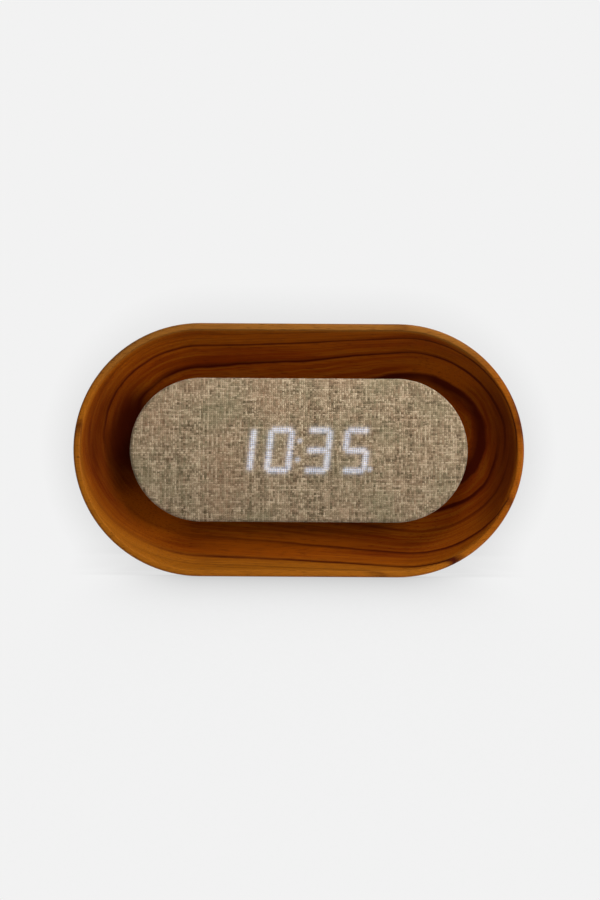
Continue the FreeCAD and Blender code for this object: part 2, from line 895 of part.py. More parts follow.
def display_leds():
    """The light chips on the board, two at the foot of each bar's shaft and one for each dot."""
    body = new_body("display_leds")
    front = DISPLAY_FRONT - S.led_height

    def draw_bars(sketch):
        for (across, up), level in led_places():
            width, height = (S.led_length, S.led_width) if level else (S.led_width, S.led_length)
            rectangle(sketch, FIRST_DIGIT + across, up, width, height)

    def draw_dot_chips(sketch):
        for place in dot_places():
            rectangle(sketch, *place, S.dot_led_side, S.dot_led_side)

    bars = slab(body, "bar_chips", draw_bars, front, DISPLAY_FRONT)
    repeat(body, "all_bar_chips", bars, "X_Axis", digit_run(), DIGIT_COUNT)
    slab(body, "dot_chips", draw_dot_chips, front, DISPLAY_FRONT)


def screw_group(name, places, seat, shape, forward=True):
    """Like screws in one body, one at each place."""
    body = new_body(name)
    outline = screw_outline(seat, *shape)
    if not forward:
        outline = [(seat * 2 - depth, radius) for depth, radius in outline]
    for number, (across, up) in enumerate(places, start=1):
        turned(body, f"{name}_{number}", across, up, outline)
    return body


def corner_places(across, up, middle=ZERO):
    return [(middle + across * side, up * level) for side in SIDES for level in SIDES]


SMALL_SCREW = (
    S.small_screw_head,
    S.small_screw_head_height,
    S.small_screw_shank,
    S.small_screw_length,
)
COVER_SCREW = (
    S.cover_screw_head,
    S.cover_screw_head_height,
    S.cover_screw_shank,
    S.cover_screw_length,
)


def screws():
    """The three groups of screws: display board, control board and rear cover."""
    display = corner_places(S.display_post_across, S.display_post_up)
    screw_group("display_screws", display, DISPLAY_BACK, SMALL_SCREW)
    control = corner_places(S.control_post_across, S.control_post_up, S.control_across)
    screw_group("board_screws", control, CONTROL_FRONT, SMALL_SCREW, forward=False)
    cover = corner_places(S.boss_across, S.boss_up)
    screw_group("cover_screws", cover, HEAD_SEAT, COVER_SCREW)


def display_driver():
    """The driver chip behind the display: its case and two rows of legs."""
    body = new_body("display_driver")
    back = DISPLAY_BACK + S.driver_height
    case = (S.driver_length, S.driver_width)
    foot = S.driver_height / 4

    def draw_case(sketch):
        rectangle(sketch, S.driver_across, ZERO, *case)

    def draw_leg(sketch):
        reach = S.driver_width + S.driver_height
        first = S.driver_across - S.driver_length / 2 + S.driver_height / 2
        rectangle(sketch, first, ZERO, S.led_height / 2, reach)

    slab(body, "case", draw_case, DISPLAY_BACK + foot / 2, back)
    leg = slab(body, "legs", draw_leg, DISPLAY_BACK, DISPLAY_BACK + foot)
    repeat(body, "all_legs", leg, "X_Axis", S.driver_length - S.driver_height, 14)


def ribbon_places():
    """The ribbon's two depths and the line across where its bend begins."""
    front = DISPLAY_BACK + S.socket_height / 2
    back = CONTROL_FRONT - S.socket_height / 2
    return front, back, S.socket_across - S.socket_width / 2


def ribbon_sockets():
    """The two flat-cable sockets, one on each board."""
    body = new_body("ribbon_sockets")
    front, back, _ = ribbon_places()
    slot = S.ribbon_thickness + S.lens_clearance * 2

    def draw(sketch):
        rectangle(sketch, S.socket_across, ZERO, S.socket_width, S.socket_length)

    def draw_slot(sketch):
        left = S.socket_across - S.socket_width / 4
        rectangle(sketch, left, ZERO, S.socket_width / 2, S.ribbon_width + S.lens_clearance * 2)

    slab(body, "front_socket", draw, DISPLAY_BACK, DISPLAY_BACK + S.socket_height)
    slab(body, "back_socket", draw, CONTROL_FRONT - S.socket_height, CONTROL_FRONT)
    cut(body, "front_slot", draw_slot, front - slot / 2, front + slot / 2)
    cut(body, "back_slot", draw_slot, back - slot / 2, back + slot / 2)


def ribbon_cable():
    """The flat cable that joins the boards, bent once into a half circle."""
    body = new_body("ribbon_cable")
    front, back, bend = ribbon_places()
    outer = (back - front + S.ribbon_thickness) / 2
    inner = outer - S.ribbon_thickness
    middle = (front + back) / 2
    end = bend + S.socket_width / 2 - S.lens_clearance
    sketch = new_sketch(
        body,
        "ribbon_profile",
        "XY_Plane",
        (ZERO, -HALF_DEPTH, MIDDLE_UP - S.ribbon_width / 2),
    )
    big = arc(sketch, (bend, middle), outer, 90, 270)
    small = arc(sketch, (bend, middle), inner, 90, 270)
    sides = [
        (small, 1, big, 1, middle + inner, middle + outer),
        (big, 2, small, 2, middle - outer, middle - inner),
    ]
    for curve, radius in ((big, outer), (small, inner)):
        fix(sketch, curve, 3, bend, middle)
        constrain(sketch, "Radius", (curve,), radius)
    for first, first_end, second, second_end, low, high in sides:
        levels = {1: (low, high), 2: (high, low)}[first_end]
        level_one = line(sketch, (bend, levels[0]), (end, levels[0]))
        cap = line(sketch, (end, levels[0]), (end, levels[1]))
        level_two = line(sketch, (end, levels[1]), (bend, levels[1]))
        join(sketch, "Tangent", first, first_end, level_one, 1)
        join(sketch, "Coincident", level_one, 2, cap, 1)
        join(sketch, "Coincident", cap, 2, level_two, 1)
        join(sketch, "Tangent", level_two, 2, second, second_end)
        sketch.addConstraint(Sketcher.Constraint("Vertical", cap))
        constrain(sketch, "DistanceX", (-1, 1, level_one, 2), end)
        join(sketch, "Vertical", first, first_end, first, 3)
        join(sketch, "Vertical", second, second_end, second, 3)
    pad = body.newObject("PartDesign::Pad", "ribbon")
    pad.Profile = sketch
    bind(pad, "Length", S.ribbon_width)


def control_board():
    """The board behind the rear cover that carries the switches, the sounder and the inlet."""

    def draw(sketch):
        size = (S.control_board_width, S.control_board_height)
        rounded_rectangle(sketch, S.control_across, ZERO, *size, S.board_corner)
        hole = S.small_screw_shank + S.screw_clearance * 2
        for across, up in corner_places(S.control_post_across, S.control_post_up, S.control_across):
            circle(sketch, across, up, hole)

    board("control_board", draw, CONTROL_FRONT, CONTROL_BACK)


def clock_chip():
    """The square timekeeping chip on the control board's front, with legs on two sides."""
    body = new_body("clock_chip")
    across, up = S.control_across + S.chip_side, ZERO
    front = CONTROL_FRONT - S.chip_height
    foot = S.chip_height / 4

    def draw_case(sketch):
        rectangle(sketch, across, up, S.chip_side, S.chip_side)

    def draw_leg(sketch):
        first = across - S.chip_side / 2 + S.chip_height / 2
        rectangle(sketch, first, up, S.chip_height / 4, S.chip_side + S.chip_height)

    slab(body, "case", draw_case, front, CONTROL_FRONT - foot / 2)
    leg = slab(body, "legs", draw_leg, CONTROL_FRONT - foot, CONTROL_FRONT)
    repeat(body, "all_legs", leg, "X_Axis", S.chip_side - S.chip_height, 8)


def clock_crystal():
    """The small can with the quartz, lying on the control board's front."""
    body = new_body("clock_crystal")
    radius = S.crystal_diameter / 2
    start = S.control_across + S.chip_side / 2
    sketch = level_sketch(body, "can_profile", CONTROL_FRONT - radius, -S.chip_side - radius)
    polygon(
        sketch,
        [
            (start, ZERO),
            (start + S.crystal_length, ZERO),
            (start + S.crystal_length, radius),
            (start, radius),
        ],
    )
    can = body.newObject("PartDesign::Revolution", "can")
    can.Profile = sketch
    can.ReferenceAxis = (sketch, ["H_Axis"])
    can.Angle = 360
    DOC.recompute()


def board_parts():
    """The small chip resistors and capacitors, in a row on each board."""
    body = new_body("board_parts")

    def draw_row(across, up):
        return lambda k: rectangle(k, across, up, S.chip_part_length, S.chip_part_width)

    step = S.chip_part_width * 2
    display_row = slab(
        body,
        "display_parts",
        draw_row(S.driver_across + S.driver_length, -step),
        DISPLAY_BACK,
        DISPLAY_BACK + S.chip_part_height,
    )
    repeat(body, "display_part_row", display_row, "Z_Axis", step * 2, 3)
    control_row = slab(
        body,
        "control_parts",
        draw_row(S.control_across + S.chip_side, S.chip_side + step),
        CONTROL_FRONT - S.chip_part_height,
        CONTROL_FRONT,
    )
    repeat(body, "control_part_row", control_row, "X_Axis", S.chip_side, 3)


def buzzer():
    """The round sounder, with the sound hole in its back."""
    body = new_body("buzzer")
    radius = S.buzzer_diameter / 2
    back = CONTROL_BACK + S.buzzer_height
    hole = S.sound_hole_diameter / 2
    turned(
        body,
        "case",
        S.buzzer_across,
        S.buzzer_up,
        [
            (CONTROL_BACK, ZERO),
            (CONTROL_BACK, radius),
            (back, radius),
            (back, hole),
            (back - hole, hole),
            (back - hole, ZERO),
        ],
    )


def button_up(row):
    """How high a button stands above the clock's middle."""
    return S.button_pitch * row


def switch_bodies():
    """The three switch cases, each with the well that its plunger slides in."""
    body = new_body("switch_bodies")
    back = CONTROL_BACK + S.switch_height
    well = S.plunger_diameter + S.screw_clearance * 2
    for name, row in zip(BUTTON_NAMES, BUTTON_ROWS):
        up = button_up(row)
        slab(
            body,
            f"case_{name}",
            lambda k: rectangle(k, S.button_across, up, S.switch_side, S.switch_side),
            CONTROL_BACK,
            back,
        )
        cut(
            body,
            f"well_{name}",
            lambda k: circle(k, S.button_across, up, well),
            CONTROL_BACK + S.plunger_bed - S.button_travel - S.screw_clearance,
            back,
        )


def buttons():
    """The three buttons with their flanges, and the switch plungers that they bear on."""
    radius = S.button_diameter / 2
    plunger = S.plunger_diameter / 2
    for name, row in zip(BUTTON_NAMES, BUTTON_ROWS):
        place = (S.button_across, button_up(row))
        cap = new_body(f"button_{name}")
        turned(
            cap,
            "cap",
            *place,
            [
                (FLANGE_FRONT, ZERO),
                (FLANGE_FRONT, S.button_flange_diameter / 2),
                (FLANGE_BACK, S.button_flange_diameter / 2),
                (FLANGE_BACK, radius),
                (BUTTON_TOP - S.button_dimple, radius),
                (BUTTON_TOP, radius - S.button_dimple),
                (BUTTON_TOP, radius / 2),
                (BUTTON_TOP - S.button_dimple, ZERO),
            ],
        )
        stem = new_body(f"plunger_{name}")
        turned(
            stem,
            "stem",
            *place,
            [
                (CONTROL_BACK + S.plunger_bed, ZERO),
                (CONTROL_BACK + S.plunger_bed, plunger),
                (FLANGE_FRONT, plunger),
                (FLANGE_FRONT, ZERO),
            ],
        )


def rounded_slot(width, height):
    """The round-ended outline of the inlet, about its own middle."""
    core = (width - height) / 2
    return lambda k: stadium(k, core, height / 2, S.usb_across, S.usb_up)


def usb_inlet():
    """The inlet's steel shell, open at the back, and the tongue inside it."""
    back = CONTROL_BACK + S.usb_length
    mouth = back - S.usb_mouth_depth
    shell = new_body("usb_shell")
    inside_width = S.usb_width - S.usb_wall * 2
    inside_height = S.usb_height - S.usb_wall * 2
    slab(shell, "shell", rounded_slot(S.usb_width, S.usb_height), CONTROL_BACK, back)
    cut(shell, "mouth", rounded_slot(inside_width, inside_height), mouth, back)
    tongue = new_body("usb_tongue")
    slab(
        tongue,
        "blade",
        lambda k: rectangle(
            k, S.usb_across, S.usb_up, S.usb_tongue_width, S.usb_tongue_height
        ),
        mouth,
        back - S.usb_wall * 2,
    )


def bay_box(grow):
    """The outline of the battery bay, larger by grow on every side."""
    return lambda k: rectangle(
        k, S.bay_across, ZERO, S.bay_length + grow * 2, BAY_HEIGHT + grow * 2
    )


def between(left, right, height):
    """A rectangle from one place across to another, about the clock's middle height."""
    return lambda k: rectangle(k, (left + right) / 2, ZERO, right - left, height)


def rear_cover():
    """The moulded cover: plate, spigot, battery bay, screw posts, hinge slot and holes."""
    body = new_body("rear_cover")
    slab(body, "plate", lambda k: stadium(k, POD_CORE, COVER_RADIUS), COVER_INSIDE, COVER_OUTSIDE)
    round_outer_edge(
        body,
        "plate_edge",
        COVER_OUTSIDE,
        POD_CORE,
        COVER_RADIUS,
        S.cover_edge_chamfer,
        kind="Chamfer",
    )
    spigot = WINDOW_RADIUS - S.spigot_clearance
    spigot_front = COVER_INSIDE - S.spigot_length

    def draw_spigot(sketch):
        stadium(sketch, POD_CORE, spigot)
        stadium(sketch, POD_CORE, spigot - S.spigot_wall)

    slab(body, "spigot", draw_spigot, spigot_front, COVER_INSIDE)
    slab(body, "bay", bay_box(S.bay_wall), BAY_FRONT, COVER_INSIDE)

    def boss(sketch, across, up):
        circle(sketch, across, up, S.cover_post_diameter)

    def shaft(sketch, across, up):
        circle(sketch, across, up, S.cover_screw_shank + S.screw_clearance * 2)

    def counterbore(sketch, across, up):
        circle(sketch, across, up, S.cover_screw_head + S.head_clearance)

    place = (S.boss_across, S.boss_up)
    slab(body, "screw_posts", at_corners("post", *place, boss), BOSS_BACK, COVER_INSIDE)
    cut(body, "screw_holes", at_corners("hole", *place, shaft), BOSS_BACK, COVER_OUTSIDE)
    cut(body, "screw_heads", at_corners("head", *place, counterbore), HEAD_SEAT, COVER_OUTSIDE)

    board_posts = corner_places(S.control_post_across, S.control_post_up, S.control_across)

    def draw_board_posts(diameter):
        def draw(sketch):
            for across, up in board_posts:
                circle(sketch, across, up, diameter)

        return draw

    slab(body, "board_posts", draw_board_posts(S.post_diameter), CONTROL_BACK, COVER_INSIDE)
    pilot = draw_board_posts(S.small_screw_shank + S.screw_clearance)
    pilot_back = CONTROL_BACK + S.small_screw_length
    cut(body, "board_pilots", pilot, CONTROL_BACK, pilot_back)

    cut(body, "bay_inside", bay_box(ZERO), BAY_FLOOR, COVER_OUTSIDE)
    door_left = S.hinge_across
    door_right = S.door_end_across + S.door_clearance
    door_height = DOOR_HEIGHT + S.door_clearance * 2
    rebate = between(door_left, door_right, door_height)
    cut(body, "door_rebate", rebate, DOOR_INSIDE, COVER_OUTSIDE)
    slot_half = KNUCKLE_RADIUS + S.latch_clearance
    hinge_slot = between(S.hinge_across - slot_half, S.hinge_across + slot_half, door_height)
    cut(body, "hinge_slot", hinge_slot, COVER_INSIDE, COVER_OUTSIDE)
    latch_half = S.latch_thickness / 2 + S.latch_clearance
    latch_height = S.latch_width + S.latch_clearance * 2
    latch_slot = between(S.latch_across - latch_half, S.latch_across + latch_half, latch_height)
    cut(body, "latch_slot", latch_slot, COVER_INSIDE, COVER_OUTSIDE)
    hinge_pins(body, "PartDesign::Groove", "hinge_sockets", S.hinge_clearance)

    def notch(sketch):
        circle(sketch, S.door_end_across, ZERO, S.finger_notch_diameter)

    notch_front = COVER_OUTSIDE - S.finger_notch_depth
    cut(body, "finger_notch", notch, notch_front, COVER_OUTSIDE)

    hole = S.button_diameter + S.button_clearance * 2
    for name, row in zip(BUTTON_NAMES, BUTTON_ROWS):
        up = button_up(row)
        draw = lambda k: circle(k, S.button_across, up, hole)
        cut(body, f"{name}_hole", draw, COVER_INSIDE, COVER_OUTSIDE)
    grow = S.usb_hole_clearance * 2
    usb_hole = rounded_slot(S.usb_width + grow, S.usb_height + grow)
    cut(body, "usb_hole", usb_hole, COVER_INSIDE, COVER_OUTSIDE)

    def sound_holes(sketch):
        circle(sketch, S.buzzer_across, S.buzzer_up, S.sound_hole_diameter)
        for turn in range(6):
            angle = math.radians(60 * turn)
            across = S.buzzer_across + S.sound_hole_ring * math.cos(angle)
            up = S.buzzer_up + S.sound_hole_ring * math.sin(angle)
            circle(sketch, across, up, S.sound_hole_diameter)

    cut(body, "sound_holes", sound_holes, COVER_INSIDE, COVER_OUTSIDE)

    tab_height = S.tab_width + S.tab_clearance * 2
    for side, up in terminal_places():
        wall_left = BAY_RIGHT if side > 0 else BAY_LEFT - S.bay_wall
        middle = wall_left + S.bay_wall / 2
        label = "right" if side > 0 else "left"
        cut(
            body,
            f"{label}_tab_slot",
            lambda k: rectangle(k, middle, up, S.bay_wall, tab_height),
            CELL_DEPTH - S.contact_thickness / 2 - S.tab_clearance,
            CELL_DEPTH + S.contact_thickness / 2 + S.tab_clearance,
        )


def hinge_pins(body, kind, name, clearance):
    """Turns the two hinge pins, or cuts their sockets, about the door's upright axis."""
    before = volume(body)
    sketch = new_sketch(
        body,
        f"{name}_profile",
        "YZ_Plane",
        (HINGE_DEPTH - HALF_DEPTH, MIDDLE_UP, S.hinge_across),
    )
    radius = S.hinge_pin_diameter / 2 + clearance
    for level in SIDES:
        start = (DOOR_HEIGHT / 2) * level
        end = (DOOR_HEIGHT / 2 + S.hinge_pin_length + clearance) * level
        polygon(sketch, [(ZERO, start), (radius, start), (radius, end), (ZERO, end)])
    feature = body.newObject(kind, name)
    feature.Profile = sketch
    feature.ReferenceAxis = (sketch, ["V_Axis"])
    feature.Angle = 360
    must_change(body, before, kind != "PartDesign::Groove", name)


def battery_door():
    """The door: a flat plate with a round hinge edge, two pins and a latch tongue."""
    body = new_body("battery_door")
    plate = between(S.hinge_across, S.door_end_across, DOOR_HEIGHT)
    slab(body, "plate", plate, DOOR_INSIDE, COVER_OUTSIDE)
    before = volume(body)
    sketch = new_sketch(
        body,
        "knuckle_outline",
        "XY_Plane",
        (ZERO, -HALF_DEPTH, MIDDLE_UP - DOOR_HEIGHT / 2),
    )
    circle(sketch, S.hinge_across, HINGE_DEPTH, S.knuckle_diameter)
    knuckle = body.newObject("PartDesign::Pad", "knuckle")
    knuckle.Profile = sketch
    bind(knuckle, "Length", DOOR_HEIGHT)
    must_change(body, before, True, "knuckle")
    hinge_pins(body, "PartDesign::Revolution", "pins", 0.0)
    half = S.latch_thickness / 2
    tongue = between(S.latch_across - half, S.latch_across + half, S.latch_width)
    slab(body, "tongue", tongue, DOOR_INSIDE - S.latch_length, DOOR_INSIDE)
    grip = S.finger_notch_depth / 2

    def ridge(sketch):
        start = S.door_end_across - S.door_thickness * 4
        rectangle(sketch, start, ZERO, grip, S.latch_width)

    ridge_cut = cut(body, "grip_line", ridge, COVER_OUTSIDE - grip, COVER_OUTSIDE)
    repeat(body, "grip_lines", ridge_cut, "X_Axis", S.door_thickness * 2, 3)


def cell_up(number):
    """How high a cell lies above the clock's middle; the first is the highest."""
    return S.cell_pitch * ((CELL_COUNT - 1) / 2 - number)


def cell_side(number):
    """The side of the bay that a cell's positive end faces, turned about from cell to cell."""
    return 1 if number % 2 == 0 else -1


def bay_end(side):
    """The inside face of the bay at one side."""
    return BAY_RIGHT if side > 0 else BAY_LEFT


def battery_cells():
    """Three cells, each with its nub against a contact plate."""
    radius = S.cell_diameter / 2
    nub = S.cell_nub_diameter / 2
    bevel = S.cell_nub_length / 2
    for number in range(CELL_COUNT):
        side = cell_side(number)
        tip = bay_end(side) - S.contact_thickness * side
        shoulder = tip - S.cell_nub_length * side
        tail = tip - S.cell_length * side
        body = new_body(f"battery_cell_{number + 1}")
        sketch = level_sketch(body, "cell_profile", CELL_DEPTH, cell_up(number))
        polygon(
            sketch,
            [
                (tail, ZERO),
                (tail, radius - bevel),
                (tail + bevel * side, radius),
                (shoulder - bevel * side, radius),
                (shoulder, radius - bevel),
                (shoulder, nub),
                (tip, nub),
                (tip, ZERO),
            ],
        )
        cell = body.newObject("PartDesign::Revolution", "cell")
        cell.Profile = sketch
        cell.ReferenceAxis = (sketch, ["H_Axis"])
        cell.Angle = 360
        DOC.recompute()


def terminal_places():
    """The side and height of the two contacts that have a tab: the first cell's and the last's."""
    return [(1, cell_up(0)), (-1, cell_up(CELL_COUNT - 1))]


def contact_spans():
    """Each plate's side, middle height and height: single at the ends of the chain, else double."""
    single = S.contact_side
    double = S.contact_side + S.cell_pitch
    spans = [(1, cell_up(0), single), (-1, cell_up(CELL_COUNT - 1), single)]
    for number in range(CELL_COUNT - 1):
        middle = (cell_up(number) + cell_up(number + 1)) / 2
        spans.append((-cell_side(number), middle, double))
    return spans


def contact_plates():
    """The flat contacts on the bay's two end walls, two of them with a tab through the wall."""
    body = new_body("contact_plates")
    terminals = terminal_places()
    for index, (side, up, height) in enumerate(contact_spans()):
        face = bay_end(side)
        middle = face - (S.contact_thickness / 2) * side
        slab(
            body,
            f"plate_{index + 1}",
            lambda k: rectangle(k, middle, up, S.contact_thickness, height),
            CELL_DEPTH - S.contact_side / 2,
            CELL_DEPTH + S.contact_side / 2,
        )
        if index < len(terminals):
            reach = face + (S.tab_length / 2) * side
            slab(
                body,
                f"tab_{index + 1}",
                lambda k: rectangle(k, reach, up, S.tab_length, S.tab_width),
                CELL_DEPTH - S.contact_thickness / 2,
                CELL_DEPTH + S.contact_thickness / 2,
            )


def contact_springs():
    """The bent leaf that pushes on each cell's flat end."""
    body = new_body("contact_springs")
    leaf = S.contact_thickness
    for number in range(CELL_COUNT):
        side = -cell_side(number)
        root = bay_end(side) - S.contact_thickness * side
        tip = bay_end(-side) + (S.contact_thickness + S.cell_length) * side
        fold = (root + tip) / 2
        low, high = -S.contact_side / 2, S.contact_side / 2
        sketch = new_sketch(
            body,
            f"leaf_{number + 1}_profile",
            "XY_Plane",
            (ZERO, CELL_DEPTH - HALF_DEPTH, MIDDLE_UP + cell_up(number) - S.spring_width / 2),
        )
        inward = leaf * side
        polygon(
            sketch,
            [
                (root, low),
                (root - inward, low),
                (root - inward, high - leaf * 2),
                (fold, high - leaf * 2),
                (tip + inward, leaf * 2),
                (tip + inward, low + leaf * 2),
                (tip, low + leaf * 2),
                (tip, leaf * 3),
                (fold, high - leaf),
                (root, high - leaf),
            ],
        )
        pad = body.newObject("PartDesign::Pad", f"leaf_{number + 1}")
        pad.Profile = sketch
        bind(pad, "Length", S.spring_width)
        DOC.recompute()



def bent_path(sketch, points, bend):
    """A path of level and upright runs through the points, joined by arcs of one radius."""
    numbers = [(across.number, up.number) for across, up in points]
    steps = []
    for (x1, y1), (x2, y2) in zip(numbers, numbers[1:]):
        long = math.hypot(x2 - x1, y2 - y1)
        steps.append(((x2 - x1) / long, (y2 - y1) / long))
    radius = bend.number
    lines = []
    for index, (dx, dy) in enumerate(steps):
        x1, y1 = numbers[index]
        x2, y2 = numbers[index + 1]
        first = radius if index else 0.0
        last = radius if index + 1 < len(steps) else 0.0
        start = FreeCAD.Vector(x1 + dx * first, y1 + dy * first, 0)
        end = FreeCAD.Vector(x2 - dx * last, y2 - dy * last, 0)
        lines.append(sketch.addGeometry(Part.LineSegment(start, end), False))
        direction = "Horizontal" if abs(dx) > abs(dy) else "Vertical"
        sketch.addConstraint(Sketcher.Constraint(direction, lines[-1]))
    for index in range(1, len(steps)):
        (ux, uy), (vx, vy) = steps[index - 1], steps[index]
        corner_x, corner_y = numbers[index]
        centre = corner_x + (vx - ux) * radius, corner_y + (vy - uy) * radius
        leftward = ux * vy - uy * vx > 0
        outward = (-vx, -vy) if leftward else (ux, uy)
        start_angle = math.degrees(math.atan2(outward[1], outward[0]))
        curve = arc(sketch, centre, bend, start_angle, start_angle + 90)
        enter, leave = (1, 2) if leftward else (2, 1)
        join(sketch, "Tangent", lines[index - 1], 2, curve, enter)
        join(sketch, "Tangent", curve, leave, lines[index], 1)
        constrain(sketch, "Radius", (curve,), bend)
    fix(sketch, lines[0], 1, *points[0])
    for index in range(1, len(points)):
        along_x = abs(steps[index - 1][0]) > abs(steps[index - 1][1])
        kind = "DistanceX" if along_x else "DistanceY"
        value = points[index][0] if along_x else points[index][1]
        if index < len(steps):
            constrain(sketch, kind, (-1, 1, lines[index], 1), value)
        else:
            constrain(sketch, kind, (-1, 1, lines[-1], 2), value)


def battery_leads():
    """The two wires from the bay's tabs, under the bay, to the control board's front."""
    body = new_body("battery_leads")
    under = BAY_FRONT - S.lead_diameter
    landing = CONTROL_LEFT + S.lead_bend * 2
    length = []
    for side, up in terminal_places():
        start = bay_end(side) + S.tab_length * side
        turn = start + S.lead_bend * 1.25 * side
        route = [
            (start, CELL_DEPTH),
            (turn, CELL_DEPTH),
            (turn, under),
            (landing, under),
            (landing, CONTROL_FRONT),
        ]
        label = "right" if side > 0 else "left"
        path = new_sketch(
            body, f"{label}_path", "XY_Plane", (ZERO, -HALF_DEPTH, MIDDLE_UP + up)
        )
        bent_path(path, route, S.lead_bend)
        section = side_sketch(body, f"{label}_section", start, up)
        circle(section, CELL_DEPTH, ZERO, S.lead_diameter)
        pipe = body.newObject("PartDesign::AdditivePipe", f"{label}_lead")
        pipe.Profile = section
        pipe.Spine = path
        DOC.recompute()
        length.append(path.Shape.Length)
    print("battery leads, mm:", [round(value, 1) for value in length])


def main():
    """Builds every sub-part and writes each to its own file."""
    for build in SUB_PARTS:
        build()
    export()


def export():
    """Checks each object and sub-part, then writes the files."""
    DOC.recompute()
    for thing in DOC.Objects:
        if any(word in ("Invalid", "Error") for word in thing.State):
            raise RuntimeError(f"{thing.Label} failed: {thing.State}")
    os.makedirs(OUTPUT_FOLDER, exist_ok=True)
    bodies = [thing for thing in DOC.Objects if thing.TypeId == "PartDesign::Body"]
    for body in bodies:
        shape = body.Shape
        if shape.isNull() or not shape.isValid():
            raise RuntimeError(f"{body.Label} has no valid shape")
    for body in bodies:
        body.Shape.exportStep(os.path.join(OUTPUT_FOLDER, f"{body.Label}.step"))
        print(f"{body.Label}: {len(body.Shape.Solids)} solids, {body.Shape.Volume:.1f} mm3")


SUB_PARTS = (
    wood_bowl,
    grille_cloth,
    front_frame,
    diffuser_film,
    light_box,
    segment_lenses,
    display_board,
    display_leds,
    screws,
    display_driver,
    ribbon_sockets,
    ribbon_cable,
    control_board,
    clock_chip,
    clock_crystal,
    board_parts,
    buzzer,
    switch_bodies,
    buttons,
    usb_inlet,
    rear_cover,
    battery_door,
    battery_cells,
    contact_plates,
    contact_springs,
    battery_leads,
)

main()
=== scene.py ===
"""The looks of a wooden digital clock: an oiled wood bowl round a cloth-covered pod with lit digits.

Lengths in the classes are in millimetres. Objects are in metres, +Z up, with the front facing -Y.
"""

import logging
import math
from collections.abc import Callable, Iterator
from contextlib import contextmanager
from dataclasses import dataclass
from enum import Enum
from functools import partialmethod

import bpy
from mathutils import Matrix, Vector


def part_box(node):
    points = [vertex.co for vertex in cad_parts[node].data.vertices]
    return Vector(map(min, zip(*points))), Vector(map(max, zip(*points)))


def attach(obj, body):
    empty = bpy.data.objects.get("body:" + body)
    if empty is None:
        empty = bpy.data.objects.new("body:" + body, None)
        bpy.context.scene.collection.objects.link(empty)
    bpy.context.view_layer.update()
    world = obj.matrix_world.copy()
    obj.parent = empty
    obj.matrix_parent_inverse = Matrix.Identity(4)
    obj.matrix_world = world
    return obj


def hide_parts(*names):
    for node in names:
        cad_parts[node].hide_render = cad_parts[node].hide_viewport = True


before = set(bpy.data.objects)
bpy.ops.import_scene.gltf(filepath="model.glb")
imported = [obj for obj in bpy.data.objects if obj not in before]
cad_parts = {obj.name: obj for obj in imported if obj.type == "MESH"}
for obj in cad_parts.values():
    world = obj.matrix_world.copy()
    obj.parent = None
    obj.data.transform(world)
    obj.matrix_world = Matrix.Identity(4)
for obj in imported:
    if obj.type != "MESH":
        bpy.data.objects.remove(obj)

LOG = logging.getLogger("clock")
MM = 0.001
MOST = (0.3, 0.7)  # The range that most of a noise lies in.
Tone = tuple[float, float, float]
Pair = tuple[float, float]
Four = tuple[float, float, float, float]  # Mostly what eased() takes: low, high, first, last.
Stop = tuple[float, Tone]


def srgb(red: int, green: int, blue: int) -> Tone:
    """Gives a colour's linear values.

    Args:
        red: The red share, 0 to 255, as a screen shows it.
        green: The green share.
        blue: The blue share.

    Returns:
        The three linear values, 0 to 1.
    """

    def linear(share: float) -> float:
        """Gives one share's linear value."""
        return share / 12.92 if share <= 0.04045 else ((share + 0.055) / 1.055) ** 2.4

    return tuple(linear(share / 255) for share in (red, green, blue))


class Value:
    """One number in a material. Python's operators work on it by adding Math nodes."""

    def __init__(self, shader: "Shader", socket: bpy.types.NodeSocket) -> None:
        """Wraps a socket.

        Args:
            shader: The shader that the socket belongs to.
            socket: The output socket that gives the number.
        """
        self.shader = shader
        self.socket = socket

    def maths(self, operation: str, *others: "Value | float") -> "Value":
        """Adds one Math node that takes this number first."""
        return self.shader.maths(operation, self, *others)

    def __rsub__(self, other: float) -> "Value":
        """Takes this from a number."""
        return self.shader.maths("SUBTRACT", other, self)

    __add__ = __radd__ = partialmethod(maths, "ADD")
    __sub__ = partialmethod(maths, "SUBTRACT")
    __mul__ = __rmul__ = partialmethod(maths, "MULTIPLY")
    __truediv__ = partialmethod(maths, "DIVIDE")
    __pow__ = partialmethod(maths, "POWER")
    __mod__ = partialmethod(maths, "FLOORED_MODULO")
    __gt__ = partialmethod(maths, "GREATER_THAN")
    __abs__ = partialmethod(maths, "ABSOLUTE")
    floor = partialmethod(maths, "FLOOR")
    cosine = partialmethod(maths, "COSINE")
    minimum = partialmethod(maths, "MINIMUM")
    maximum = partialmethod(maths, "MAXIMUM")

    def eased(self, low: float, high: float, first: float = 0.0, last: float = 1.0) -> "Value":
        """Eases from one number to another as this goes from low to high.

        Args:
            low: Where the change starts.
            high: Where the change ends.
            first: The number at low and before.
            last: The number at high and after.

        Returns:
            The eased number.
        """
        settings = {"interpolation_type": "SMOOTHSTEP", "clamp": True}
        values = {0: self, 1: low, 2: high, 3: first, 4: last}
        return Value(self.shader, self.shader.node("ShaderNodeMapRange", settings, values).outputs[0])


Socket = bpy.types.NodeSocket
Feed = Value | Socket | float | tuple


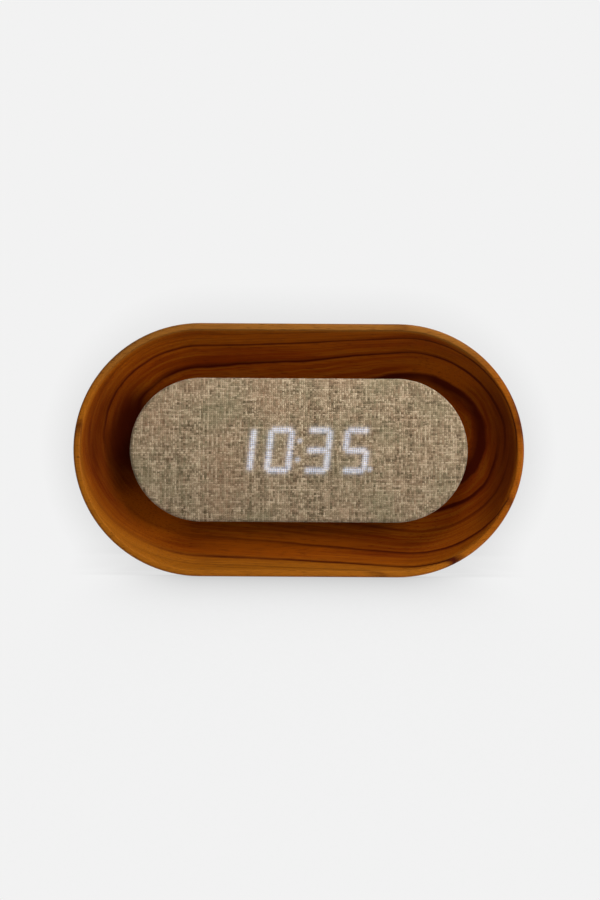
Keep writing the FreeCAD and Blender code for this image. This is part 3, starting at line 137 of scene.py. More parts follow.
class Shader:
    """The nodes of a material or of the world, which expressions and plain calls add to."""

    def __init__(self, owner: bpy.types.Material | bpy.types.World) -> None:
        """Starts without a node.

        Args:
            owner: The material or the world.
        """
        owner.use_nodes = True
        self.tree = owner.node_tree
        self.tree.nodes.clear()

    def node(self, kind: str, settings: dict | None = None, values: dict | None = None) -> bpy.types.Node:
        """Adds any node.

        Args:
            kind: The node's type.
            settings: What is set on the node first. A ramp's stops are (place, colour) pairs.
            values: The number, colour or link of each input, by its name or place.

        Returns:
            The new node.
        """
        node = self.tree.nodes.new(kind)
        for name, setting in (settings or {}).items():
            if name == "stops":
                self._set_stops(node, setting)
            else:
                setattr(node, name, setting)
        for key, value in (values or {}).items():
            self._feed(node.inputs[key], value)
        return node

    def _set_stops(self, node: bpy.types.Node, stops: list[Stop]) -> None:
        """Gives a colour ramp its stops.

        Args:
            node: The ramp.
            stops: The (place, colour) pairs, in rising order.
        """
        elements = node.color_ramp.elements
        while len(elements) < len(stops):
            elements.new(1.0)
        for element, (place, tone) in zip(elements, stops):
            element.position = place
            element.color = (*tone, 1.0)

    def _feed(self, socket: Socket, value: Feed) -> None:
        """Links a socket or sets its number.

        Args:
            socket: The input socket.
            value: The link, number or colour that it gets.
        """
        if isinstance(value, Value):
            self.tree.links.new(value.socket, socket)
        elif isinstance(value, Socket):
            self.tree.links.new(value, socket)
        elif isinstance(value, tuple) and socket.type == "RGBA":
            socket.default_value = (*value, 1.0)
        else:
            socket.default_value = value

    def maths(self, operation: str, *values: Feed) -> Value:
        """Adds one Math node and gives its result."""
        node = self.node("ShaderNodeMath", {"operation": operation}, dict(enumerate(values)))
        return Value(self, node.outputs[0])

    def vector(self, operation: str, *values: Feed) -> Socket:
        """Adds one Vector Math node and gives its vector."""
        node = self.node("ShaderNodeVectorMath", {"operation": operation}, dict(enumerate(values)))
        return node.outputs[0]

    def length(self, vector: Socket) -> Value:
        """Gives a vector's length."""
        node = self.node("ShaderNodeVectorMath", {"operation": "LENGTH"}, {0: vector})
        return Value(self, node.outputs["Value"])

    def place(self, origin: Tone = (0.0, 0.0, 0.0)) -> Socket:
        """Gives the place on the piece.

        Args:
            origin: Where the place is counted from, in millimetres.

        Returns:
            The place in millimetres.
        """
        coordinates = self.node("ShaderNodeTexCoord").outputs["Object"]
        back = tuple(-part for part in origin)
        values = {"Vector": coordinates, "Location": back, "Scale": (1 / MM,) * 3}
        return self.node("ShaderNodeMapping", {}, values).outputs[0]

    def parts(self, vector: Socket) -> tuple[Value, Value, Value]:
        """Splits a vector into its three numbers."""
        node = self.node("ShaderNodeSeparateXYZ", {}, {0: vector})
        return tuple(Value(self, socket) for socket in node.outputs)

    def joined(self, *parts: Feed) -> Socket:
        """Makes a vector of up to three numbers."""
        return self.node("ShaderNodeCombineXYZ", {}, dict(enumerate(parts))).outputs[0]

    def noise(self, vector: Socket, scale: float = 1.0, detail: float = 2.0, rough: float = 0.5) -> Value:
        """Gives smooth noise about 0.5.

        Args:
            vector: The place that the noise is read at.
            scale: How many bumps there are to one unit of the place.
            detail: How many finer layers are added.
            rough: How strong the finer layers are.

        Returns:
            The noise, mostly from 0.2 to 0.8.
        """
        values = {"Vector": vector, "Scale": scale, "Detail": detail, "Roughness": rough}
        return Value(self, self.node("ShaderNodeTexNoise", {}, values).outputs[0])

    def chance(self, *parts: Feed) -> Value:
        """Gives a number from 0 to 1 that jumps from one whole step of its inputs to the next."""
        node = self.node("ShaderNodeTexWhiteNoise", {}, {0: self.joined(*parts)})
        return Value(self, node.outputs["Value"])

    def blend(self, factor: Feed, first: Feed, second: Feed, kind: str = "MIX") -> Socket:
        """Mixes two colours.

        Args:
            factor: How much of the second colour there is.
            first: The first colour.
            second: The second colour.
            kind: The way they mix.

        Returns:
            The mixed colour.
        """
        settings = {"data_type": "RGBA", "blend_type": kind}
        return self.node("ShaderNodeMix", settings, {0: factor, 6: first, 7: second}).outputs[2]

    def dimmed(self, tone: Feed, share: Value) -> Socket:
        """Gives a share of a colour's light."""
        return self.blend(1.0, tone, self.joined(share, share, share), "MULTIPLY")

    def tones(self, value: Feed, stops: list[Stop]) -> Socket:
        """Turns a number into a colour by a ramp of (place, colour) stops."""
        return self.node("ShaderNodeValToRGB", {"stops": stops}, {0: value}).outputs[0]

    def bump(self, height: Value, depth: float) -> Socket:
        """Gives a normal that follows a height of 0 to 1, which stands for depth millimetres."""
        values = {"Strength": 1.0, "Distance": depth * MM, "Height": height}
        return self.node("ShaderNodeBump", {}, values).outputs[0]

    def surface(self, values: dict[str, Feed]) -> None:
        """Ends the material in one Principled surface, given its inputs by name."""
        shading = self.node("ShaderNodeBsdfPrincipled", {}, values).outputs[0]
        self.node("ShaderNodeOutputMaterial", {}, {0: shading})


class Finish:
    """A finish makes its material once and hands out the same one after that."""

    name: str

    def shade(self, shader: Shader) -> None:
        """Adds the finish's nodes."""
        raise NotImplementedError

    def material(self) -> bpy.types.Material:
        """Gives the finish's material, made at the first call.

        Returns:
            The material.
        """
        made = bpy.data.materials.get(self.name)
        if made is None:
            made = bpy.data.materials.new(self.name)
            self.shade(Shader(made))
        return made


@dataclass(frozen=True)
class Spot:
    """The point that a wood finish is worked out for, in millimetres from the middle of the rim."""

    shader: Shader
    across: Value
    depth: Value
    up: Value


@dataclass(frozen=True)
class Figure:
    """Noise stretched to a figure in the wood, given by its bumps to a millimetre each way."""

    across: float
    through: float
    up: float
    detail: float = 2.0
    rough: float = 0.5

    def read(self, at: Spot, through: Value) -> Value:
        """Gives the figure's noise at a point, about 0.5.

        Args:
            at: The point.
            through: What the figure changes with through the wood: the depth or the layer.

        Returns:
            The noise.
        """
        place = at.shader.joined(at.across * self.across, through * self.through, at.up * self.up)
        return at.shader.noise(place, 1.0, self.detail, self.rough)


@dataclass(frozen=True)
class Patch:
    """An oval patch of another tone, which starts to show at some depth. Some patches are darker or paler
    wood, and some also carry painted light or shade.
    """

    middle: Pair
    reach: Pair
    start: float
    fade: float
    share: float
    tone: Tone
    edge: Four = (0.4, 1.2, 1.0, 0.0)

    def read(self, at: Spot) -> Value:
        """Gives how much of the patch's tone shows.

        Args:
            at: The point.

        Returns:
            The share.
        """
        across = (at.across - self.middle[0]) / self.reach[0]
        up = (at.up - self.middle[1]) / self.reach[1]
        oval = at.shader.length(at.shader.joined(across, up)).eased(*self.edge)
        return oval * at.depth.eased(self.start, self.start + self.fade, 0.0, self.share)


@dataclass(frozen=True)
class OiledWood(Finish):
    """Oiled solid wood, whose growth layers lie nearly level with the front and are slightly cupped.

    A point's layer is its depth behind the rim, corrected for how the layers lean, cup and twist.
    Each dark line ends one layer, so the lines run round the carved dish as nested rings. A ring is
    given by its layer, how dark it is, and how far it fades out before and after. Rings and eased
    shares are in millimetres from the middle of the rim's plane.
    """

    origin: Tone
    outline: Pair
    name: str = "oiled_wood_finish"
    lean_across: float = 0.074
    lean_up: float = 0.142
    cup_across: float = 0.00036
    cup_up: float = -0.0021
    twist: float = -0.00037
    rings_above: tuple[Four, ...] = (
        (-10.0, 0.5, 1.2, 0.5), (-2.0, 0.6, 1.2, 0.5), (5.0, 0.4, 1.0, 0.5), (12.3, 0.95, 1.0, 0.5),
        (20.0, 1.0, 1.0, 0.5), (27.0, 1.0, 0.7, 2.6), (36.0, 0.8, 1.4, 0.5), (48.0, 0.9, 1.6, 0.5),
    )  # fmt: skip
    rings_below: tuple[Four, ...] = (
        (-10.0, 0.4, 1.2, 0.5), (-3.6, 0.9, 1.2, 1.6), (7.1, 0.9, 1.2, 0.5), (17.3, 0.55, 1.0, 0.5),
        (23.0, 0.95, 1.0, 0.5), (27.0, 0.9, 0.7, 2.6), (36.0, 0.8, 1.4, 0.5), (48.0, 0.9, 1.6, 0.5),
    )  # fmt: skip
    margin: float = 5.0
    above: Pair = (-14.0, 14.0)
    faint_layers: Pair = (0.0, 4.0)
    faint_left: Four = (-50.0, 5.0, 0.75, 0.0)
    faint_end: Four = (-78.0, -50.0, 0.7, 0.0)
    sway: Figure = Figure(0.02, 0.04, 0.05, 1.0)
    sway_reach: float = 1.6
    ripple: Figure = Figure(0.07, 0.15, 0.15)
    broad: Figure = Figure(0.015, 0.09, 0.03, 1.0)
    streaks: Figure = Figure(0.014, 1.1, 0.06, 4.0, 0.65)
    fibre: Figure = Figure(0.07, 2.4, 2.4, 3.0, 0.6)
    pores: Figure = Figure(0.2, 3.4, 3.4, 0.0)
    strength: Figure = Figure(0.02, 0.2, 0.04)
    light: Tone = (0.3, 0.094, 0.006)
    golden: Tone = (0.2, 0.043, 0.0012)
    red: Tone = (0.145, 0.021, 0.0008)
    # Painted shade: a darker, redder tone laid deeper in the dish, weaker on its bottom wall.
    deep_shade: Tone = (0.155, 0.018, 0.0006)
    early: Tone = (0.26, 0.056, 0.0018)
    line: Tone = (0.042, 0.0036, 0.0008)
    # Painted sheen: a paler, greyer tone on the top of the rim.
    top_rim_sheen: Tone = (0.22, 0.092, 0.016)
    # Paler patches: the one on the lower-left floor by the pod is partly paler wood and partly painted light
    # where the pod's shadow falls; the others are paler wood.
    sapwood_and_painted_light: tuple[Patch, ...] = (
        Patch((-72.0, -31.0), (24.0, 15.0), 12.0, 6.0, 1.0, (0.36, 0.08, 0.0025)),
        Patch((62.0, 33.0), (20.0, 8.0), -6.0, 6.0, 0.8, early),
        Patch((-8.0, -43.0), (50.0, 5.0), -6.0, 6.0, 0.8, early),
    )
    # A dark patch left of the pod: partly darker heartwood, partly the pod's painted shadow.
    dark_heart_and_pod_shadow: Patch = Patch((-82.0, 9.0), (20.0, 27.0), 12.0, 8.0, 0.95, line)
    red_share: Pair = (0.42, 0.66)
    early_share: float = 0.45
    # Paler near the rim, darker deeper down: partly growth layers, partly painted shade in the dish.
    pale_layers_and_dish_shade: Four = (-9.0, 1.0, 0.9, 0.0)
    light_streaks: Four = (0.46, 0.64, 0.0, 0.34)
    dark_streaks: Four = (0.5, 0.34, 0.0, 0.3)
    # Where the painted deep shade grows inwards, and how it weakens towards the bottom.
    deep_shade_inwards: Four = (7.0, 24.0, 0.0, 0.45)
    deep_shade_upwards: Four = (-46.0, -22.0, 0.3, 1.0)
    # Painted shade on the dish wall near the rim: at the right end, and at the left end above the middle.
    painted_shade_right: Four = (76.0, 93.0, 0.0, 0.6)
    painted_shade_left: Four = (-76.0, -88.0, 0.0, 0.35)
    painted_shade_left_up: Pair = (-16.0, 0.0)
    painted_shade_from: Pair = (1.5, 4.0)
    painted_shade_until: Four = (12.0, 20.0, 1.0, 0.0)
    # The rim's paler edge: partly wear, partly painted highlight, weaker towards the right end.
    rim_wear_and_highlight_depth: Four = (0.6, 3.4, 0.75, 0.0)
    rim_wear_and_highlight_right: Four = (65.0, 95.0, 1.0, 0.4)
    # Where the painted sheen shows: the top of the rim.
    top_rim_sheen_up: Pair = (20.0, 45.0)
    top_rim_sheen_inwards: Four = (0.8, 2.0, 1.0, 0.0)
    line_strength: Four = (0.3, 0.55, 0.75, 1.25)
    line_right: Four = (50.0, 78.0, 0.0, 0.5)
    fibre_lines: Four = (0.5, 0.72, 0.0, 0.3)
    pore_specks: Four = (0.66, 0.72, 0.0, 0.45)
    cut_end: float = 0.25
    cut_end_inwards: Four = (2.0, 12.0, 0.0, 0.55)
    pore_pits: Four = (0.64, 0.74, 0.0, 0.4)
    roughness: Four = (0.3, 0.7, 0.4, 0.52)
    gloss_tint: Tone = (1.0, 0.5, 0.2)
    figure_depth: float = 0.05
    dish_edge: Pair = (1.5, 4.0)
    dish_back: Four = (26.0, 30.0, 1.0, 0.0)

    def layer(self, at: Spot) -> Value:
        """Gives the growth layer.

        Args:
            at: The point.

        Returns:
            The layer, in millimetres of depth below the rim's middle.
        """
        lean = at.across * (self.lean_across + at.across * self.cup_across + at.up * self.twist)
        lean = lean + at.up * (self.lean_up + at.up * self.cup_up)
        sway = (self.sway.read(at, at.depth) - 0.5) * self.sway_reach
        return at.depth + lean + sway + (self.ripple.read(at, at.depth) - 0.5)

    def growth(self, at: Spot, layer: Value) -> tuple[Value, Value]:
        """Gives the dark line that ends each layer, and the pale wood that the next one starts with.

        Args:
            at: The point.
            layer: Its layer.

        Returns:
            How dark the line is, and how pale the wood is, each 0 to 1.
        """
        lines, pales = [], []
        for rings in (self.rings_below, self.rings_above):
            line_stops, pale_stops = [], []
            for place, strength, before, after in rings:
                line_stops += [(place - before, 0.0), (place, strength), (place + after, 0.0)]
                pale_stops += [(place - before, 0.0), (place + after, 1.0)]
            lines.append(self.along_layers(at.shader, layer, line_stops))
            pales.append(self.along_layers(at.shader, layer, pale_stops))
        above = at.up.eased(*self.above)
        faint = layer.eased(*self.faint_layers) * at.across.eased(*self.faint_left)
        below = lines[0] * (1.0 - faint.maximum(at.across.eased(*self.faint_end)))
        return below + (lines[1] - below) * above, pales[0] + (pales[1] - pales[0]) * above

    def along_layers(self, shader: Shader, layer: Value, stops: list[Pair]) -> Value:
        """Gives a number that changes from layer to layer.

        Args:
            shader: The material's shader.
            layer: The layer.
            stops: The (layer, number) pairs, in rising order.

        Returns:
            The number.
        """
        low, high = stops[0][0] - self.margin, stops[-1][0] + self.margin
        shares = [((place - low) / (high - low), (number,) * 3) for place, number in stops]
        return Value(shader, shader.tones((layer - low) / (high - low), shares))

    def dish(self, at: Spot) -> Value:
        """Tells the scooped dish from the rim, the sides and the back.

        Args:
            at: The point.

        Returns:
            1 in the dish and 0 elsewhere, with soft edges.
        """
        straight, end_radius = self.outline
        past_end = (abs(at.across) - straight).maximum(0.0)
        inset = end_radius - at.shader.length(at.shader.joined(past_end, at.up))
        return inset.eased(*self.dish_edge) * at.depth.eased(*self.dish_back)

    def shade(self, shader: Shader) -> None:
        """Adds the finish's nodes.

        Args:
            shader: The material's shader.
        """
        across, depth, up = shader.parts(shader.place(self.origin))
        at = Spot(shader, across, depth, up)
        layer, dish = self.layer(at), self.dish(at)
        line, pale = self.growth(at, layer)
        streaks, strength = self.streaks.read(at, layer), self.strength.read(at, layer)
        fibre, pores = self.fibre.read(at, depth), self.pores.read(at, depth)

        # Painted shade on the dish wall near the rim, at the right end and the upper left.
        painted_shade_left = across.eased(*self.painted_shade_left) * up.eased(*self.painted_shade_left_up)
        painted_side_shade = across.eased(*self.painted_shade_right).maximum(painted_shade_left)
        painted_wall_shade = painted_side_shade * depth.eased(*self.painted_shade_from) * depth.eased(*self.painted_shade_until)
        # The rim's paler edge: partly wear, partly painted highlight.
        rim_wear_and_highlight = depth.eased(*self.rim_wear_and_highlight_depth) * across.eased(*self.rim_wear_and_highlight_right)
        # Painted sheen on the top of the rim.
        top_rim_sheen = up.eased(*self.top_rim_sheen_up) * depth.eased(*self.top_rim_sheen_inwards)
        dark = line * strength.eased(*self.line_strength) * (dish * across.eased(*self.line_right) + 1.0)
        cut_ends = abs(shader.parts(shader.node("ShaderNodeTexCoord").outputs["Normal"])[0])
        washes = (
            (pale * self.early_share, self.early),
            # Paler near the rim: partly growth layers, partly painted shade in the dish.
            (layer.eased(*self.pale_layers_and_dish_shade), self.light),
            # Painted shade: darker and redder deeper in the dish.
            (depth.eased(*self.deep_shade_inwards) * up.eased(*self.deep_shade_upwards) * dish, self.deep_shade),
            (streaks.eased(*self.light_streaks), self.light),
            (streaks.eased(*self.dark_streaks), self.line),
            # Paler patches, the lower-left one partly painted light.
            *((patch.read(at) * dish, patch.tone) for patch in self.sapwood_and_painted_light),
            # Painted shade at the wall's sides, and the dark patch that is partly the pod's painted shadow,
            # in the line tone.
            (self.dark_heart_and_pod_shadow.read(at).maximum(painted_wall_shade) * dish, self.dark_heart_and_pod_shadow.tone),
            # The rim: partly wear, partly painted highlight, with painted sheen on its top.
            (rim_wear_and_highlight, shader.blend(top_rim_sheen, self.light, self.top_rim_sheen)),
            (dark, self.line),
            (fibre.eased(*self.fibre_lines), self.line),
            (pores.eased(*self.pore_specks), self.line),
            (cut_ends**2 * (depth.eased(*self.cut_end_inwards) * dish + self.cut_end), self.line),
        )
        ground = shader.blend(self.broad.read(at, layer).eased(*self.red_share), self.golden, self.red)
        for share, tone in washes:
            ground = shader.blend(share, ground, tone)

        height = fibre * 0.5 + streaks * 0.3 - pores.eased(*self.pore_pits)
        gloss = {"Roughness": fibre.eased(*self.roughness), "Specular IOR Level": 0.12}
        gloss["Specular Tint"] = self.gloss_tint
        shader.surface({"Base Color": ground, **gloss, "Normal": shader.bump(height, self.figure_depth)})


class Bar(Enum):
    """A digit's seven bars: the row and the side of each one's middle, in half digits."""

    TOP = (1.0, 0.0)
    MIDDLE = (0.0, 0.0)
    BOTTOM = (-1.0, 0.0)
    HIGH_LEFT = (0.5, -1.0)
    HIGH_RIGHT = (0.5, 1.0)
    LOW_LEFT = (-0.5, -1.0)
    LOW_RIGHT = (-0.5, 1.0)


DIGIT_BARS = {
    "0": (Bar.TOP, Bar.BOTTOM, Bar.HIGH_LEFT, Bar.HIGH_RIGHT, Bar.LOW_LEFT, Bar.LOW_RIGHT),
    "1": (Bar.HIGH_RIGHT, Bar.LOW_RIGHT),
    "3": (Bar.TOP, Bar.MIDDLE, Bar.BOTTOM, Bar.HIGH_RIGHT, Bar.LOW_RIGHT),
    "5": (Bar.TOP, Bar.MIDDLE, Bar.BOTTOM, Bar.HIGH_LEFT, Bar.LOW_RIGHT),
}


@dataclass(frozen=True)
class Readout:
    """The lit bars and dots of the four digits, as a distance from the nearest one."""

    digits: str = "1035"
    pitch: float = 17.0
    width: float = 11.5
    height: float = 20.2
    bar: float = 2.3
    gap: float = 0.5
    slant: float = 6.5
    colon_up: float = 4.2
    dot: float = 2.2
    last_dot: Pair = (7.1, -8.3)
    bleed: float = 0.5

    def bars(self) -> list[Four]:
        """Lists the lit bars.

        Returns:
            Each one's middle across and up, and its half length across and up.
        """
        column = (self.width - self.bar) / 2
        row = (self.height - self.bar) / 2
        trim = self.gap + self.bar / 2 - self.bleed
        found = []
        for number, digit in enumerate(self.digits):
            middle = (number - (len(self.digits) - 1) / 2) * self.pitch
            for bar in DIGIT_BARS[digit]:
                up, side = bar.value
                reach = (column - trim, 0.0) if side == 0 else (0.0, row / 2 - trim)
                found.append((middle + side * column, up * row, *reach))
        return found

    def dots(self) -> list[Pair]:
        """Lists the lit dots: the colon's two and the one after the last digit.

        Returns:
            Each one's middle across and up.
        """
        last = (len(self.digits) - 1) / 2 * self.pitch
        across, up = self.last_dot
        return [(0.0, self.colon_up), (0.0, -self.colon_up), (last + across, up)]

    def distance(self, shader: Shader, across: Value, up: Value) -> tuple[Value, Value]:
        """Measures how far a point lies from the nearest lit bar and the nearest lit dot.

        Args:
            shader: The material's shader.
            across: Millimetres to the right of the display's middle.
            up: Millimetres above the display's middle.

        Returns:
            The distances to the middle line of a bar and to the middle of a dot, in millimetres.
        """
        upright = across - up * math.tan(math.radians(self.slant))
        point = shader.joined(upright, up)
        nearest = None
        for middle, height, half_across, half_up in self.bars():
            offset = shader.vector("ABSOLUTE", shader.vector("SUBTRACT", point, (middle, height, 0.0)))
            past = shader.vector("SUBTRACT", offset, (half_across, half_up, 0.0))
            reach = shader.length(shader.vector("MAXIMUM", past, (0.0, 0.0, 0.0)))
            nearest = reach if nearest is None else nearest.minimum(reach)
        nearest_dot = None
        for middle, height in self.dots():
            reach = shader.length(shader.vector("SUBTRACT", point, (middle, height, 0.0)))
            nearest_dot = reach if nearest_dot is None else nearest_dot.minimum(reach)
        return nearest, nearest_dot


@dataclass(frozen=True)
class LinenWeave(Finish):
    """Melange linen in plain weave, with the digits' light coming through between its threads.

    Places on the cloth are counted in threads, from the map of its flat cut in millimetres.
    """

    origin: Tone
    readout: Readout
    name: str = "linen_weave_finish"
    thread: float = 0.95
    wander: float = 1.6
    wander_scale: float = 0.09
    crown: float = 4.4
    thread_height: float = 0.72
    weave_height: float = 0.28
    thread_depth: float = 0.16
    warp_slubs: float = 0.32
    weft_slubs: float = 0.2
    own_share: float = 0.28
    dark: Tone = (0.076, 0.052, 0.027)
    middle: Tone = (0.26, 0.188, 0.112)
    pale: Tone = (0.5, 0.39, 0.257)
    warm: Tone = (0.3, 0.175, 0.1)
    cool: Tone = (0.19, 0.175, 0.095)
    cast_scale: float = 0.045
    gap_shade: Four = (0.0, 0.75, 0.62, 1.0)
    # Painted light: the cloth darker towards the bottom and lighter at the top.
    painted_light_from_above: Four = (-34.0, 30.0, 0.88, 1.05)
    light: Tone = (0.4, 0.47, 0.62)
    bar_edge: Pair = (-0.9, 0.95)
    dot_edge: Four = (0.1, 2.0, 0.85, 0.0)
    halo_reach: float = 2.6
    halo_share: float = 0.08
    hole: Four = (0.15, 0.62, 1.15, 0.3)

    def thread_tone(self, number: Value, along: Value, seed: float, slubs: float) -> Value:
        """Gives how pale a thread is at a place along it.

        Args:
            number: The thread's number.
            along: The place along it, in threads.
            seed: A number that sets warp and weft apart.
            slubs: How many thick or thin places there are to one thread's width.

        Returns:
            The paleness, about 0 to 1.
        """
        shader = number.shader
        own = shader.chance(number, seed, 0.0)
        slub = shader.noise(shader.joined(number * 3.7 + seed, along * slubs, seed), 1.0, 2.0, 0.6)
        return own * self.own_share + slub.eased(0.28, 0.72) * (1.0 - self.own_share)

    def across_thread(self, place: Value) -> Value:
        """Gives the height of a round thread across its width, 1 on top and 0 in the gap."""
        return (1.0 - abs(place % 1.0 - 0.5) ** 2 * self.crown).maximum(0.0)

    def glow(self, warp_place: Value, weft_place: Value, paleness: Value) -> Socket:
        """Gives the light of the digits that comes through the cloth.

        Args:
            warp_place: The place across the upright threads, in threads.
            weft_place: The place across the level threads, in threads.
            paleness: How pale the threads are there.

        Returns:
            The colour of the light.
        """
        shader = paleness.shader
        across, _, up = shader.parts(shader.place(self.origin))
        bar, dot = self.readout.distance(shader, across, up)
        half = self.readout.bar / 2
        inner, outer = (half + edge for edge in self.bar_edge)
        lit = bar.eased(inner, outer, 1.0, 0.0).maximum(dot.eased(*self.dot_edge))
        halo = bar.eased(half, half + self.halo_reach, self.halo_share, 0.0)
        from_hole = [(place + 0.5) % 1.0 - 0.5 for place in (warp_place, weft_place)]
        sparkle = shader.length(shader.joined(*from_hole)).eased(*self.hole)
        return shader.dimmed(self.light, lit * sparkle * (0.75 + paleness * 0.3) + halo)

    def wandering(self, place: Value, across: Value, up: Value, seed: float) -> Value:
        """Turns a place on the cloth from millimetres into threads, which wander a little.

        Args:
            place: The place across the threads.
            across: Millimetres across the cut.
            up: Millimetres up the cut.
            seed: A number that sets warp and weft apart.

        Returns:
            The place in threads.
        """
        shader = place.shader
        scaled = shader.joined(across * self.wander_scale, up * self.wander_scale, seed)
        return place / self.thread + (shader.noise(scaled, 1.0, 2.0) - 0.5) * self.wander

    def shade(self, shader: Shader) -> None:
        """Adds the finish's nodes.

        Args:
            shader: The material's shader.
        """
        across, up, _ = shader.parts(shader.node("ShaderNodeUVMap", {"uv_map": "cloth"}).outputs[0])
        warp_place = self.wandering(across, across, up, 0.0)
        weft_place = self.wandering(up, across, up, 9.0)
        warp_number, weft_number = warp_place.floor(), weft_place.floor()
        over = ((weft_place - 0.5 + warp_number) * math.pi).cosine() * self.weave_height
        warp_height = self.across_thread(warp_place) * (self.thread_height + over)
        weft_height = self.across_thread(weft_place) * (self.thread_height - over)
        on_top = (warp_height - weft_height).eased(-0.15, 0.15)
        height = warp_height.maximum(weft_height)

        warp_tone = self.thread_tone(warp_number, weft_place, 1.3, self.warp_slubs)
        weft_tone = self.thread_tone(weft_number, warp_place, 5.9, self.weft_slubs)
        paleness = weft_tone + (warp_tone - weft_tone) * (on_top * 0.7 + 0.15)
        ground = shader.tones(paleness, [(0.1, self.dark), (0.5, self.middle), (0.92, self.pale)])
        tint = shader.noise(shader.joined(warp_number * 0.9, weft_number * 0.3, 3.0))
        cast_place = shader.joined(across * self.cast_scale, up * self.cast_scale, 4.0)
        cast = shader.noise(cast_place, 1.0, 1.0)
        warmer = tint.eased(0.5, 0.75, 0.0, 0.35) + cast.eased(0.5, 0.7, 0.0, 0.25)
        cooler = tint.eased(0.5, 0.25, 0.0, 0.35) + cast.eased(0.5, 0.3, 0.0, 0.3)
        ground = shader.blend(cooler, shader.blend(warmer, ground, self.warm), self.cool)
        # Painted light and shade: the cloth is darker towards the bottom and lighter at the top.
        shade = height.eased(*self.gap_shade) * up.eased(*self.painted_light_from_above)
        gloss = {"Roughness": 0.88, "Specular IOR Level": 0.12, "Sheen Weight": 0.08, "Sheen Roughness": 0.5}
        light = {"Emission Color": self.glow(warp_place, weft_place, paleness), "Emission Strength": 1.0}
        bump = shader.bump(height, self.thread_depth)
        shader.surface({"Base Color": shader.dimmed(ground, shade), **gloss, **light, "Normal": bump})


@dataclass(frozen=True)
class MouldedPlastic(Finish):
    """Moulded plastic with the fine matt grain of a spark-eroded tool."""

    name: str
    tone: Tone
    rough: float = 0.5
    grain: float = 3.5
    grain_depth: float = 0.02

    def shade(self, shader: Shader) -> None:
        """Adds the finish's nodes.

        Args:
            shader: The material's shader.
        """
        place = shader.place()
        grain = shader.noise(place, self.grain, 3.0, 0.7)
        cloud = shader.noise(place, 0.06, 2.0)
        lighter = tuple(min(1.0, part * 1.35 + 0.004) for part in self.tone)
        ground = shader.blend(grain.eased(*MOST, 0.0, 0.6), self.tone, lighter)
        rough = cloud.eased(*MOST, self.rough - 0.06, self.rough + 0.08)
        bump = shader.bump(grain, self.grain_depth)
        shader.surface({"Base Color": ground, "Roughness": rough, "Normal": bump})


@dataclass(frozen=True)
class PlatedMetal(Finish):
    """Plated sheet or turned metal with faint drawing lines."""

    name: str
    tone: Tone
    rough: float = 0.3
    stretch: Tone = (0.3, 4.0, 4.0)
    line_depth: float = 0.01

    def shade(self, shader: Shader) -> None:
        """Adds the finish's nodes.

        Args:
            shader: The material's shader.
        """
        place = shader.place()
        lines = shader.noise(shader.vector("MULTIPLY", place, self.stretch), 1.0, 3.0, 0.6)
        cloud = shader.noise(place, 0.4, 2.0)
        duller = tuple(part * 0.8 for part in self.tone)
        ground = shader.blend(cloud.eased(0.35, 0.7, 0.0, 0.5), self.tone, duller)
        rough = lines.eased(*MOST, self.rough - 0.08, self.rough + 0.12)
        bump = shader.bump(lines, self.line_depth)
        shader.surface({"Base Color": ground, "Metallic": 1.0, "Roughness": rough, "Normal": bump})


@dataclass(frozen=True)
class PrintedBoard(Finish):
    """A lacquered circuit board, with copper tracks showing through as paler green."""

    name: str = "board_finish"
    lacquer: Tone = srgb(16, 78, 44)
    track: Tone = srgb(34, 112, 62)
    pitch: float = 1.9
    run: float = 9.0
    bare_share: float = 0.35
    track_depth: float = 0.03

    def shade(self, shader: Shader) -> None:
        """Adds the finish's nodes.

        Args:
            shader: The material's shader.
        """
        place = shader.place()
        across, _, up = shader.parts(place)
        lane = (up / self.pitch).floor()
        jog = shader.chance(lane, (across / self.run).floor(), 2.0)
        within = abs(up / self.pitch % 1.0 - 0.3 - jog * 0.4)
        track = within.eased(0.12, 0.18, 1.0, 0.0) * (jog > self.bare_share)
        ground = shader.blend(track, self.lacquer, self.track)
        rough = shader.noise(place, 0.5).eased(*MOST, 0.28, 0.4)
        bump = shader.bump(track, self.track_depth)
        shader.surface({"Base Color": ground, "Roughness": rough, "Normal": bump})


@dataclass(frozen=True)
class LitLens(Finish):
    """Clear bars and dots, lit from behind where the readout has them on."""

    origin: Tone
    readout: Readout
    name: str = "lit_lens_finish"
    tone: Tone = srgb(214, 212, 222)
    light: Tone = (0.84, 0.84, 1.0)
    bar_edge: Four = (1.2, 1.5, 1.0, 0.0)
    dot_edge: Four = (1.1, 1.3, 1.0, 0.0)

    def shade(self, shader: Shader) -> None:
        """Adds the finish's nodes.

        Args:
            shader: The material's shader.
        """
        place = shader.place(self.origin)
        across, _, up = shader.parts(place)
        bar, dot = self.readout.distance(shader, across, up)
        lit = bar.eased(*self.bar_edge).maximum(dot.eased(*self.dot_edge))
        haze = shader.noise(place, 0.9, 2.0)
        ground = shader.blend(haze.eased(*MOST, 0.0, 0.3), self.tone, (1.0, 1.0, 1.0))
        emitted = shader.blend(lit, (0.0, 0.0, 0.0), self.light)
        light = {"Emission Color": emitted, "Emission Strength": 2.0}
        shader.surface({"Base Color": ground, "Roughness": haze.eased(*MOST, 0.2, 0.35), **light})


